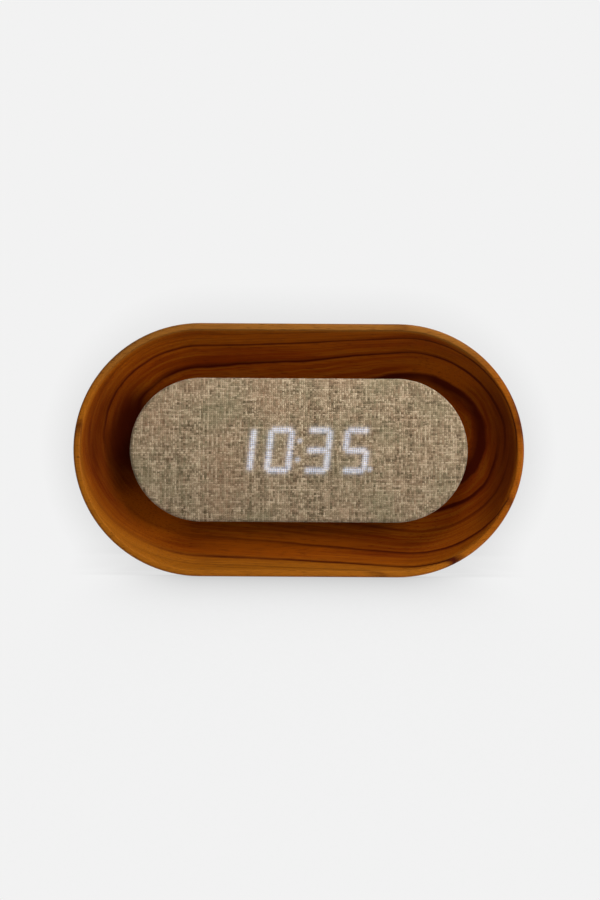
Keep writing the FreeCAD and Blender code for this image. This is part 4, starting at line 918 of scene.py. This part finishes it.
@dataclass(frozen=True)
class RibbonFilm(Finish):
    """A flat ribbon of conductors under white film."""

    name: str = "ribbon_finish"
    film: Tone = srgb(226, 226, 218)
    conductor: Tone = srgb(168, 168, 166)
    pitch: float = 1.0
    conductor_edge: Four = (0.16, 0.24, 1.0, 0.0)
    conductor_depth: float = 0.03

    def shade(self, shader: Shader) -> None:
        """Adds the finish's nodes.

        Args:
            shader: The material's shader.
        """
        place = shader.place()
        _, _, up = shader.parts(place)
        line = abs(up / self.pitch % 1.0 - 0.5).eased(*self.conductor_edge)
        ground = shader.blend(line, self.film, self.conductor)
        rough = shader.noise(place, 0.8).eased(*MOST, 0.38, 0.5)
        bump = shader.bump(line, self.conductor_depth)
        shader.surface({"Base Color": ground, "Roughness": rough, "Normal": bump})


@dataclass(frozen=True)
class CellWrap(Finish):
    """A battery cell in a printed film with bare metal at both ends."""

    low_end: float
    high_end: float
    name: str
    wrap: Tone = srgb(40, 62, 88)
    band: Tone = srgb(178, 184, 190)
    metal: Tone = srgb(196, 194, 188)
    bare_until: float = 0.02
    band_at: Pair = (0.76, 0.8)
    bare_from: float = 0.965

    def shade(self, shader: Shader) -> None:
        """Adds the finish's nodes.

        Args:
            shader: The material's shader.
        """
        place = shader.place()
        across, _, _ = shader.parts(place)
        run = (across - self.low_end) / (self.high_end - self.low_end)
        bare = (run > self.bare_from).maximum(self.bare_until - run > 0.0)
        banded = (run > self.band_at[0]) * (1.0 - (run > self.band_at[1]))
        flake = shader.noise(place, 3.0, 2.0)
        wrap = shader.blend(flake.eased(0.4, 0.7, 0.0, 0.25), self.wrap, self.band)
        ground = shader.blend(banded, wrap, self.band)
        ground = shader.blend(bare, ground, self.metal)
        rough = flake.eased(*MOST, 0.22, 0.34)
        shader.surface({"Base Color": ground, "Metallic": bare * 0.9 + 0.1, "Roughness": rough})


@dataclass(frozen=True)
class WireSleeve(Finish):
    """Soft sleeves: red on the upper lead and black on the lower one."""

    split: float
    name: str = "wire_sleeve_finish"
    upper: Tone = srgb(168, 26, 22)
    lower: Tone = srgb(26, 26, 28)

    def shade(self, shader: Shader) -> None:
        """Adds the finish's nodes.

        Args:
            shader: The material's shader.
        """
        place = shader.place()
        _, _, up = shader.parts(place)
        speck = shader.noise(place, 2.0, 2.0)
        ground = shader.blend(up > self.split, self.lower, self.upper)
        rough, bump = speck.eased(*MOST, 0.42, 0.55), shader.bump(speck, 0.02)
        shader.surface({"Base Color": ground, "Roughness": rough, "Normal": bump})


def dress(finish: Finish, *names: str) -> None:
    """Gives pieces of the frame their finish.

    Args:
        finish: The finish.
        names: The pieces' names.
    """
    for name in names:
        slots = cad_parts[name].data.materials
        slots.clear()
        slots.append(finish.material())
        LOG.info("%s wears %s", name, finish.name)


def only(piece: bpy.types.Object) -> None:
    """Makes a piece the only one that is selected, and the active one.

    Args:
        piece: The piece.
    """
    bpy.ops.object.select_all(action="DESELECT")
    piece.select_set(True)
    bpy.context.view_layer.objects.active = piece


def added(add: Callable[..., set], name: str, **settings: object) -> bpy.types.Object:
    """Adds a primitive with nothing else selected, and applies its place.

    Args:
        add: The operator that adds it.
        name: The new piece's name.
        settings: The operator's settings.

    Returns:
        The new piece.
    """
    bpy.ops.object.select_all(action="DESELECT")
    add(**settings)
    piece = bpy.context.object
    piece.name = name
    bpy.ops.object.transform_apply()
    return piece


class Part(Enum):
    """The kinds of parts of a mesh."""

    POINT = "VERT"
    EDGE = "EDGE"
    FACE = "FACE"


@contextmanager
def picked(piece: bpy.types.Object, kind: Part, wanted: Callable[..., bool]) -> Iterator[None]:
    """Selects some of a piece's parts and stays in edit mode until the block ends.

    Args:
        piece: The piece, in object mode.
        kind: The kind of part that is picked.
        wanted: Says of a part whether it is picked. A point is given as its place, an edge as
            the places of its two ends, a face as its middle and its normal.

    Yields:
        Nothing: the block works on what is picked.
    """
    mesh = piece.data
    bpy.ops.object.mode_set(mode="EDIT")
    bpy.ops.mesh.select_mode(type=kind.value)
    bpy.ops.mesh.select_all(action="DESELECT")
    bpy.ops.object.mode_set(mode="OBJECT")
    if kind is Part.POINT:
        for vertex in mesh.vertices:
            vertex.select = wanted(vertex.co)
    elif kind is Part.EDGE:
        for edge in mesh.edges:
            edge.select = wanted(*(mesh.vertices[end].co for end in edge.vertices))
    else:
        for face in mesh.polygons:
            face.select = wanted(face.center, face.normal)
    bpy.ops.object.mode_set(mode="EDIT")
    yield
    bpy.ops.object.mode_set(mode="OBJECT")


def apply_modifier(piece: bpy.types.Object, kind: str, settings: dict[str, object]) -> None:
    """Gives the active piece a modifier and applies it.

    Args:
        piece: The active piece.
        kind: The modifier's type.
        settings: Its settings by name.
    """
    modifier = piece.modifiers.new(kind.lower(), kind)
    for name, setting in settings.items():
        setattr(modifier, name, setting)
    bpy.ops.object.modifier_apply(modifier=modifier.name)


@dataclass
class WoodBody:
    """The block of wood with its dish."""

    node: str = "wood_bowl"

    def build(self) -> None:
        """Dresses the wood, from its rim's middle, its straight sides and its round ends."""
        low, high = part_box(self.node)
        end_radius = (high.z - low.z) / 2 / MM
        outline = ((high.x - low.x) / 2 / MM - end_radius, end_radius)
        rim_middle = ((low.x + high.x) / 2 / MM, low.y / MM, (low.z + high.z) / 2 / MM)
        dress(OiledWood(rim_middle, outline), self.node)


@dataclass
class ClothPod:
    """The cloth stretched over the pod, turned over its edge and in under its back."""

    body: str = "clock_body"
    edge_round: float = 1.6
    thickness: float = 0.7
    hem: float = 4.0
    step: float = 1.5
    arc_points: int = 144
    ring_steps: tuple[float, ...] = (0.8, 2.5, 4.0, 4.0, 4.0, 4.0)
    ripple: float = 0.09
    ripple_width: float = 20.0
    hair: float = 0.01

    def __post_init__(self) -> None:
        """Takes the pod's place and size from its solid."""
        low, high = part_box("grille_cloth")
        self.front, self.back = low.y / MM, high.y / MM
        self.middle = (low.z + high.z) / 2 / MM
        self.radius = (high.z - low.z) / 2 / MM
        self.core = (high.x - low.x) / 2 / MM - self.radius

    def lay_flat(self, place: Vector) -> Pair:
        """Gives where a point of the shaped cloth lies on the flat cut.

        Args:
            place: The point, in metres.

        Returns:
            Its millimetres across and up from the cut's middle.
        """
        across, depth, up = place.x / MM, place.y / MM, place.z / MM - self.middle
        start = max(-self.core, min(self.core, across))
        spoke = Vector((across - start, up))
        reach = spoke.length
        behind = depth - self.front
        flat = self.radius - self.edge_round
        side_end = flat + self.edge_round * math.pi / 2 + self.back - self.front - self.edge_round
        if depth > self.back - self.hair and reach < self.radius - self.hair:
            travelled = side_end + self.radius - reach
        elif behind > self.edge_round:
            travelled = side_end - (self.back - depth)
        elif reach > flat:
            sine = min(1.0, (reach - flat) / self.edge_round)
            travelled = flat + self.edge_round * math.asin(sine)
        else:
            travelled = reach
        laid = spoke.normalized() * travelled
        return start + laid.x, laid.y

    def add_blank(self) -> bpy.types.Object:
        """Makes the pod's outline as a flat face at its back, with close points all round.

        Returns:
            The flat blank.
        """
        blank = added(
            bpy.ops.mesh.primitive_circle_add,
            "woven_cloth",
            vertices=self.arc_points,
            radius=self.radius * MM,
            fill_type="NGON",
            location=(0, self.back * MM, self.middle * MM),
            rotation=(math.radians(90), math.pi / self.arc_points, 0),
        )
        for side in (-1, 1):
            with picked(blank, Part.POINT, lambda place: place.x * side > 0):
                bpy.ops.transform.translate(value=(side * self.core * MM, 0, 0))
        with picked(blank, Part.EDGE, lambda first, last: (last - first).length > self.core * MM):
            bpy.ops.mesh.subdivide(number_cuts=round(self.core * 2 / self.step))
        return blank

    def raise_sides(self, cloth: bpy.types.Object) -> None:
        """Draws the blank forward to the pod's face, rounds its edge and turns its hem in.

        Args:
            cloth: The flat blank.
        """
        front, back = self.front * MM, self.back * MM
        with picked(cloth, Part.FACE, lambda middle, normal: True):
            bpy.ops.mesh.extrude_region_move(TRANSFORM_OT_translate={"value": (0, front - back, 0)})
            bpy.ops.mesh.select_all(action="SELECT")
            bpy.ops.mesh.normals_make_consistent(inside=False)
        with picked(cloth, Part.FACE, lambda middle, normal: normal.y > 0.99):
            bpy.ops.mesh.inset(thickness=self.hem * MM)
            bpy.ops.mesh.delete(type="FACE")
        on_face, short = front + self.hair * MM, self.hem * MM
        with picked(cloth, Part.EDGE, lambda a, b: max(a.y, b.y) < on_face and (b - a).length < short):
            bpy.ops.mesh.bevel(offset=self.edge_round * MM, segments=6, profile=0.5)
        with picked(cloth, Part.FACE, lambda middle, normal: normal.y < -0.999):
            for step in self.ring_steps:
                bpy.ops.mesh.inset(thickness=step * MM)

    def thicken(self, cloth: bpy.types.Object) -> None:
        """Lets the cloth lie in by a hair here and there, and gives it its thickness inwards.

        Args:
            cloth: The cloth so far, one face thick.
        """
        only(cloth)
        waves = bpy.data.textures.new("cloth_waves", "CLOUDS")
        waves.noise_scale = self.ripple_width * MM
        sink = {"texture": waves, "texture_coords": "LOCAL", "mid_level": 1.0}
        apply_modifier(cloth, "DISPLACE", {**sink, "strength": self.ripple * MM})
        apply_modifier(cloth, "SOLIDIFY", {"thickness": self.thickness * MM, "offset": -1.0})

    def map_threads(self, cloth: bpy.types.Object) -> None:
        """Gives the cloth the map of its flat cut, which the weave follows.

        Args:
            cloth: The cloth so far, one face thick.
        """
        flat_map = cloth.data.uv_layers.new(name="cloth")
        for loop in cloth.data.loops:
            flat_map.data[loop.index].uv = self.lay_flat(cloth.data.vertices[loop.vertex_index].co)

    def flat_size(self) -> tuple[float, float, float]:
        """Gives the cut's size before it was stretched.

        Returns:
            Its width and length in metres, and its area in square metres.
        """
        flat = self.radius - self.edge_round
        turned = flat + self.edge_round * (math.pi / 2 - 1) + self.back - self.front + self.hem
        area = self.core * 2 * turned * 2 + math.pi * turned**2
        return turned * 2 * MM, (turned + self.core) * 2 * MM, area * MM**2

    def build(self, readout: Readout) -> None:
        """Args:
            readout: The digits that shine through it.
        """
        cloth = self.add_blank()
        self.raise_sides(cloth)
        self.map_threads(cloth)
        self.thicken(cloth)
        bpy.ops.object.shade_smooth()
        cloth.data.materials.append(LinenWeave((0.0, self.front, self.middle), readout).material())
        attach(cloth, self.body)
        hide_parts("grille_cloth")
        width, length, area = self.flat_size()
        LOG.info("cloth cut %.1f by %.1f mm, %d faces", width / MM, length / MM, len(cloth.data.polygons))


BLACK = MouldedPlastic("black_plastic_finish", srgb(26, 26, 28))
CHIP = MouldedPlastic("chip_finish", srgb(24, 24, 26), rough=0.42, grain=5.0)
NICKEL = PlatedMetal("nickel_finish", srgb(206, 202, 194))
ZINC = PlatedMetal("zinc_finish", srgb(186, 188, 192), rough=0.34)
BOARD = PrintedBoard()


@dataclass
class Display:
    """The lit display behind the cloth."""

    readout: Readout

    def build(self) -> None:
        """Dresses the display's pieces."""
        low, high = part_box("segment_lenses")
        lens_middle = (0.0, 0.0, (low.z + high.z) / 2 / MM)
        dress(BLACK, "front_frame", "light_box")
        dress(MouldedPlastic("film_finish", srgb(222, 222, 226), rough=0.5, grain=2.0), "diffuser_film")
        dress(LitLens(lens_middle, self.readout), "segment_lenses")
        dress(BOARD, "display_board")
        dress(MouldedPlastic("led_finish", srgb(236, 226, 178), rough=0.3, grain=1.0), "display_leds")
        dress(ZINC, "display_screws")
        dress(CHIP, "display_driver")
        dress(MouldedPlastic("socket_finish", srgb(214, 206, 182), rough=0.45), "ribbon_sockets")
        dress(RibbonFilm(), "ribbon_cable")


@dataclass
class ControlBoard:
    """The timekeeping board and what is soldered to it."""

    ceramic: Tone = srgb(150, 118, 88)

    def build(self) -> None:
        """Dresses the board's pieces."""
        dress(BOARD, "control_board")
        dress(CHIP, "clock_chip", "buzzer", "switch_bodies")
        dress(NICKEL, "clock_crystal", "usb_shell")
        dress(MouldedPlastic("ceramic_finish", self.ceramic, rough=0.4, grain=6.0), "board_parts")
        dress(BLACK, "plunger_up", "plunger_set", "plunger_down", "usb_tongue")
        dress(ZINC, "board_screws")


@dataclass
class CoverScrews:
    """The four pan-head screws behind, each with a cross recess."""

    node: str = "cover_screws"
    body: str = "clock_body"
    head: float = 5.6
    head_height: float = 2.0
    round_off: float = 0.66
    shank: float = 2.5
    tip: float = 1.2
    wing: float = 3.1
    blade: float = 0.85
    recess: float = 1.25
    taper: float = 0.45
    point: float = 0.1
    sides: int = 32

    def __post_init__(self) -> None:
        """Takes the first screw's place and how far apart they stand from their solids."""
        low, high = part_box(self.node)
        radius = self.head / 2 * MM
        self.place = Vector((low.x + radius, high.y, low.z + radius))
        self.length = (high.y - low.y) / MM - self.head_height
        self.apart = (high.x - low.x - radius * 2, high.z - low.z - radius * 2)

    def add_blank(self) -> bpy.types.Object:
        """Makes one screw without its recess: the rounded head, the shank and the tip.

        Returns:
            The screw.
        """
        half = self.head_height / 2 * MM
        screw = added(
            bpy.ops.mesh.primitive_cylinder_add,
            "screw",
            vertices=self.sides,
            radius=self.head / 2 * MM,
            depth=self.head_height * MM,
            location=self.place - Vector((0, half, 0)),
            rotation=(math.radians(90), 0, 0),
        )
        with picked(screw, Part.EDGE, lambda a, b: min(a.y, b.y) > self.place.y - half):
            bpy.ops.mesh.bevel(offset=self.round_off * MM, segments=4)
        with picked(screw, Part.FACE, lambda middle, normal: normal.y < -0.99):
            bpy.ops.mesh.inset(thickness=(self.head - self.shank) / 2 * MM)
            for run in (self.length - self.tip, self.tip):
                bpy.ops.mesh.extrude_region_move(TRANSFORM_OT_translate={"value": (0, -run * MM, 0)})
            bpy.ops.transform.resize(value=(self.point, 1.0, self.point))
        return screw

    def cut_recess(self, screw: bpy.types.Object, size: Vector) -> None:
        """Cuts one arm of the cross, which narrows towards its bottom.

        Args:
            screw: The screw.
            size: The arm's size across, in depth and up, in millimetres.
        """
        arm = added(bpy.ops.mesh.primitive_cube_add, "arm", size=MM, location=self.place, scale=size)
        with picked(arm, Part.POINT, lambda place: place.y < self.place.y):
            bpy.ops.transform.resize(value=(self.taper, 1.0, self.taper))
        only(screw)
        apply_modifier(screw, "BOOLEAN", {"object": arm})
        bpy.data.meshes.remove(arm.data)

    def build(self) -> None:
        """Makes one screw, copies it to the other three places and dresses all four."""
        screw = self.add_blank()
        self.cut_recess(screw, Vector((self.wing, self.recess * 2, self.blade)))
        self.cut_recess(screw, Vector((self.blade, self.recess * 2, self.wing)))
        bpy.ops.object.shade_smooth_by_angle(angle=math.radians(35))
        across, up = self.apart
        made = [screw]
        for step in ((across, 0, 0), (0, 0, up), (-across, 0, 0)):
            bpy.ops.object.duplicate()
            bpy.ops.transform.translate(value=step)
            bpy.ops.object.transform_apply()
            made.append(bpy.context.object)
        for copy in made:
            copy.select_set(True)
        bpy.ops.object.join()
        screws = bpy.context.object
        screws.name = "recessed_screws"
        screws.data.materials.append(ZINC.material())
        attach(screws, self.body)
        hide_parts(self.node)
        LOG.info("four cover screws, %d faces", len(screws.data.polygons))


@dataclass
class RearCover:
    """The moulded cover, its buttons and its battery door."""

    tone: Tone = srgb(44, 42, 40)

    def build(self) -> None:
        """Dresses the cover's pieces."""
        moulding = MouldedPlastic("cover_finish", self.tone, rough=0.55, grain=2.6, grain_depth=0.035)
        dress(moulding, "rear_cover", "battery_door", "button_up", "button_set", "button_down")
        CoverScrews().build()


@dataclass
class BatteryPack:
    """The three cells, their contacts and leads."""

    cells: int = 3

    def build(self) -> None:
        """Dresses the battery pieces."""
        for number in range(1, self.cells + 1):
            name = f"battery_cell_{number}"
            low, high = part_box(name)
            ends = (low.x / MM, high.x / MM)
            if number % 2 == 0:
                ends = ends[::-1]
            dress(CellWrap(*ends, f"cell_wrap_{number}_finish"), name)
        dress(NICKEL, "contact_plates", "contact_springs")
        low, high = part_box("battery_leads")
        dress(WireSleeve((low.z + high.z) / 2 / MM), "battery_leads")


@dataclass(frozen=True)
class PalePaper(Finish):
    """The sweep's even pale finish, with the clock's soft shadow painted into it.

    The camera and reflections see paper of one tone, with a painted shadow: darkened where the clock hides
    the room from it, found by ambient occlusion and not cast by the lamps. The upright part lets all other
    light through, and isn't seen from behind. The painted shadow's shares are eased from place to place, in
    millimetres from the middle of the clock's underside.
    """

    name: str = "paper"
    tone: Tone = (0.888, 0.888, 0.888)
    near_reach: float = 30.0
    wide_reach: float = 800.0
    samples: int = 24
    before: Four = (-30.0, -6.0, 1.0, 0.0)
    beside: Four = (40.0, 94.0, 1.0, 0.0)
    wide_share: float = 0.46
    under_inwards: Four = (14.0, 34.0, 0.28, 0.75)
    under_sideways: Four = (74.0, 112.0, 1.0, 0.0)
    curve_inwards: Pair = (24.0, 40.0)
    curve_upwards: Pair = (3.0, 8.0)
    curve_sideways: Four = (66.0, 80.0, 1.0, 0.74)
    upwards: Four = (50.0, 120.0, 0.68, 0.44)
    upright_from: float = 0.5

    def hidden(self, shader: Shader, reach: float) -> Value:
        """Gives how much of the room is hidden from the paper by what stands near.

        Args:
            shader: The material's shader.
            reach: How far away that may stand, in millimetres.

        Returns:
            The share, 0 to 1.
        """
        settings = {"samples": self.samples}
        node = shader.node("ShaderNodeAmbientOcclusion", settings, {"Distance": reach * MM})
        return 1.0 - Value(shader, node.outputs["AO"])

    def light(self, shader: Shader, height: Value) -> Value:
        """Gives the share of the paper's tone that the painted shadow leaves, from how much of the room the
        clock hides.

        Args:
            shader: The material's shader.
            height: Millimetres above the floor.

        Returns:
            The share, up to 1.
        """
        across, depth, _ = shader.parts(shader.place())
        aside, before = abs(across), depth.eased(*self.before)
        under = depth.eased(*self.under_inwards) * aside.eased(*self.under_sideways)
        curve = height.eased(*self.curve_upwards).maximum(aside.eased(*self.curve_sideways))
        low = (depth.eased(*self.curve_inwards) * curve).maximum(under)
        near = self.hidden(shader, self.near_reach) * (1.0 - before) * height.eased(*self.upwards) * low
        wide = self.hidden(shader, self.wide_reach) ** 0.5 * before * aside.eased(*self.beside)
        return 1.0 - near - wide * self.wide_share

    def shade(self, shader: Shader) -> None:
        """Adds the finish's nodes.

        Args:
            shader: The material's shader.
        """
        rays = shader.node("ShaderNodeLightPath").outputs
        camera, glossy, through = (
            Value(shader, rays[f"Is {kind} Ray"]) for kind in ("Camera", "Glossy", "Transmission")
        )
        behind = Value(shader, shader.node("ShaderNodeNewGeometry").outputs["Backfacing"])
        shown = camera.maximum(glossy).maximum(through) * (1.0 - behind)
        height = shader.parts(shader.place())[2]
        # Painted shadow: the paper's tone is dimmed where the clock hides the room from it.
        tone = shader.dimmed(self.tone, self.light(shader, height))
        plain = shader.node("ShaderNodeEmission", {}, {"Color": tone}).outputs[0]
        lit = shader.node("ShaderNodeBsdfDiffuse", {}, {"Color": self.tone}).outputs[0]
        clear = shader.node("ShaderNodeBsdfTransparent").outputs[0]
        upright = height > self.upright_from
        unseen = shader.node("ShaderNodeMixShader", {}, {0: upright, 1: lit, 2: clear}).outputs[0]
        mixed = shader.node("ShaderNodeMixShader", {}, {0: shown, 1: unseen, 2: plain}).outputs[0]
        shader.node("ShaderNodeOutputMaterial", {}, {0: mixed})


@dataclass(frozen=True)
class Lamp:
    """A soft square lamp that faces the clock, in degrees and metres.

    It stands by `turn` to the right of straight in front, by `lift` above the level, and makes a
    white sheet that faces it as bright as `level`, 1 being white.
    """

    name: str
    turn: float
    lift: float
    away: float
    size: float
    level: float

    def add(self, middle: Vector) -> None:
        """Adds the lamp at its place.

        Args:
            middle: The clock's middle, in metres.
        """
        angle, rise = math.radians(self.turn), math.radians(self.lift)
        flat = math.cos(rise)
        towards = Vector((math.sin(angle) * flat, -math.cos(angle) * flat, math.sin(rise)))
        bpy.ops.object.light_add(type="AREA", location=middle + towards * self.away)
        lamp = bpy.context.object
        lamp.name = self.name
        lamp.data.size = self.size
        lamp.data.energy = (math.pi * self.away) ** 2 * self.level
        lamp.rotation_euler = towards.to_track_quat("Z", "Y").to_euler()


@dataclass
class Studio:
    """The pale sweep that the clock stands on, the lamps and the camera."""

    photo_width: int = 600
    photo_height: int = 900
    pixel: float = 0.4433
    bowl_middle: Pair = (298.7, 450.2)
    lens: float = 100.0
    sensor: float = 36.0
    roll: float = -0.35
    paper: PalePaper = PalePaper()
    paper_size: float = 4.0
    backdrop_gap: float = 4.0
    sweep_radius: float = 14.0
    room: Tone = (0.98, 0.98, 1.0)
    room_strength: float = 0.22
    lamps: tuple[Lamp, ...] = (
        Lamp("key_lamp", 46, 16, 1.3, 0.45, 0.42),
        Lamp("side_lamp", 76, 3, 1.3, 0.45, 0.45),
        Lamp("fill_lamp", -50, 10, 1.3, 0.5, 0.05),
        Lamp("top_lamp", 20, 50, 0.3, 0.15, 0.62),
        Lamp("back_lamp", 160, 30, 1.2, 0.6, 0.55),
    )

    def __post_init__(self) -> None:
        """Takes the clock's place from its wood."""
        low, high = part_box("wood_bowl")
        self.front, self.back, self.middle = low.y, high.y, (low + high) / 2

    def add_camera(self) -> None:
        """Sets the camera square to the rim, framed as the photograph is."""
        bpy.ops.object.camera_add()
        camera = bpy.context.object
        camera.name = "camera"
        camera.data.lens = self.lens
        camera.data.sensor_width = self.sensor
        away = self.lens * self.photo_height * self.pixel / self.sensor * MM
        right = (self.photo_width / 2 - self.bowl_middle[0]) * self.pixel * MM
        above = (self.bowl_middle[1] - self.photo_height / 2) * self.pixel * MM
        camera.location = (self.middle.x + right, self.front - away, self.middle.z + above)
        camera.rotation_euler = (math.radians(90), math.radians(self.roll), 0)
        bpy.context.scene.camera = camera

    def add_sweep(self) -> None:
        """Makes the floor and the upright paper behind, joined by a curve."""
        back = self.back + (self.backdrop_gap + self.sweep_radius) * MM
        half, at_back = self.paper_size / 2, back - MM
        place = (0, back - half, 0)
        sweep = added(bpy.ops.mesh.primitive_plane_add, "paper_sweep", size=self.paper_size, location=place)
        with picked(sweep, Part.EDGE, lambda a, b: min(a.y, b.y) > at_back):
            bpy.ops.mesh.extrude_edges_move(TRANSFORM_OT_translate={"value": (0, 0, half)})
        with picked(sweep, Part.EDGE, lambda a, b: min(a.y, b.y) > at_back and max(a.z, b.z) < MM):
            bpy.ops.mesh.bevel(offset=self.sweep_radius * MM, segments=16)
        if max(sweep.data.polygons, key=lambda face: face.area).normal.z < 0:
            sweep.data.flip_normals()
        for face in sweep.data.polygons:
            face.use_smooth = True
        sweep.visible_shadow = False
        sweep.data.materials.append(self.paper.material())

    def add_world(self) -> None:
        """Makes the even light of the room, which the camera sees as pale paper."""
        world = bpy.data.worlds.new("room")
        bpy.context.scene.world = world
        shader = Shader(world)
        light = {"Color": self.room, "Strength": self.room_strength}
        room = shader.node("ShaderNodeBackground", {}, light).outputs[0]
        paper = shader.node("ShaderNodeBackground", {}, {"Color": self.paper.tone}).outputs[0]
        seen = shader.node("ShaderNodeLightPath").outputs["Is Camera Ray"]
        mixed = shader.node("ShaderNodeMixShader", {}, {0: seen, 1: room, 2: paper}).outputs[0]
        shader.node("ShaderNodeOutputWorld", {}, {0: mixed})

    def build(self) -> None:
        """Sets up the camera, the sweep, the lamps and the room."""
        self.add_camera()
        self.add_sweep()
        for lamp in self.lamps:
            lamp.add(self.middle)
        self.add_world()
        bpy.context.scene.view_settings.view_transform = "Standard"


def main() -> None:
    """Builds the clock's looks."""
    logging.basicConfig(level=logging.INFO, format="%(name)s: %(message)s")
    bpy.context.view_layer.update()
    readout = Readout()
    Studio().build()
    WoodBody().build()
    ClothPod().build(readout)
    Display(readout).build()
    ControlBoard().build()
    RearCover().build()
    BatteryPack().build()


if __name__ == "__main__":
    main()
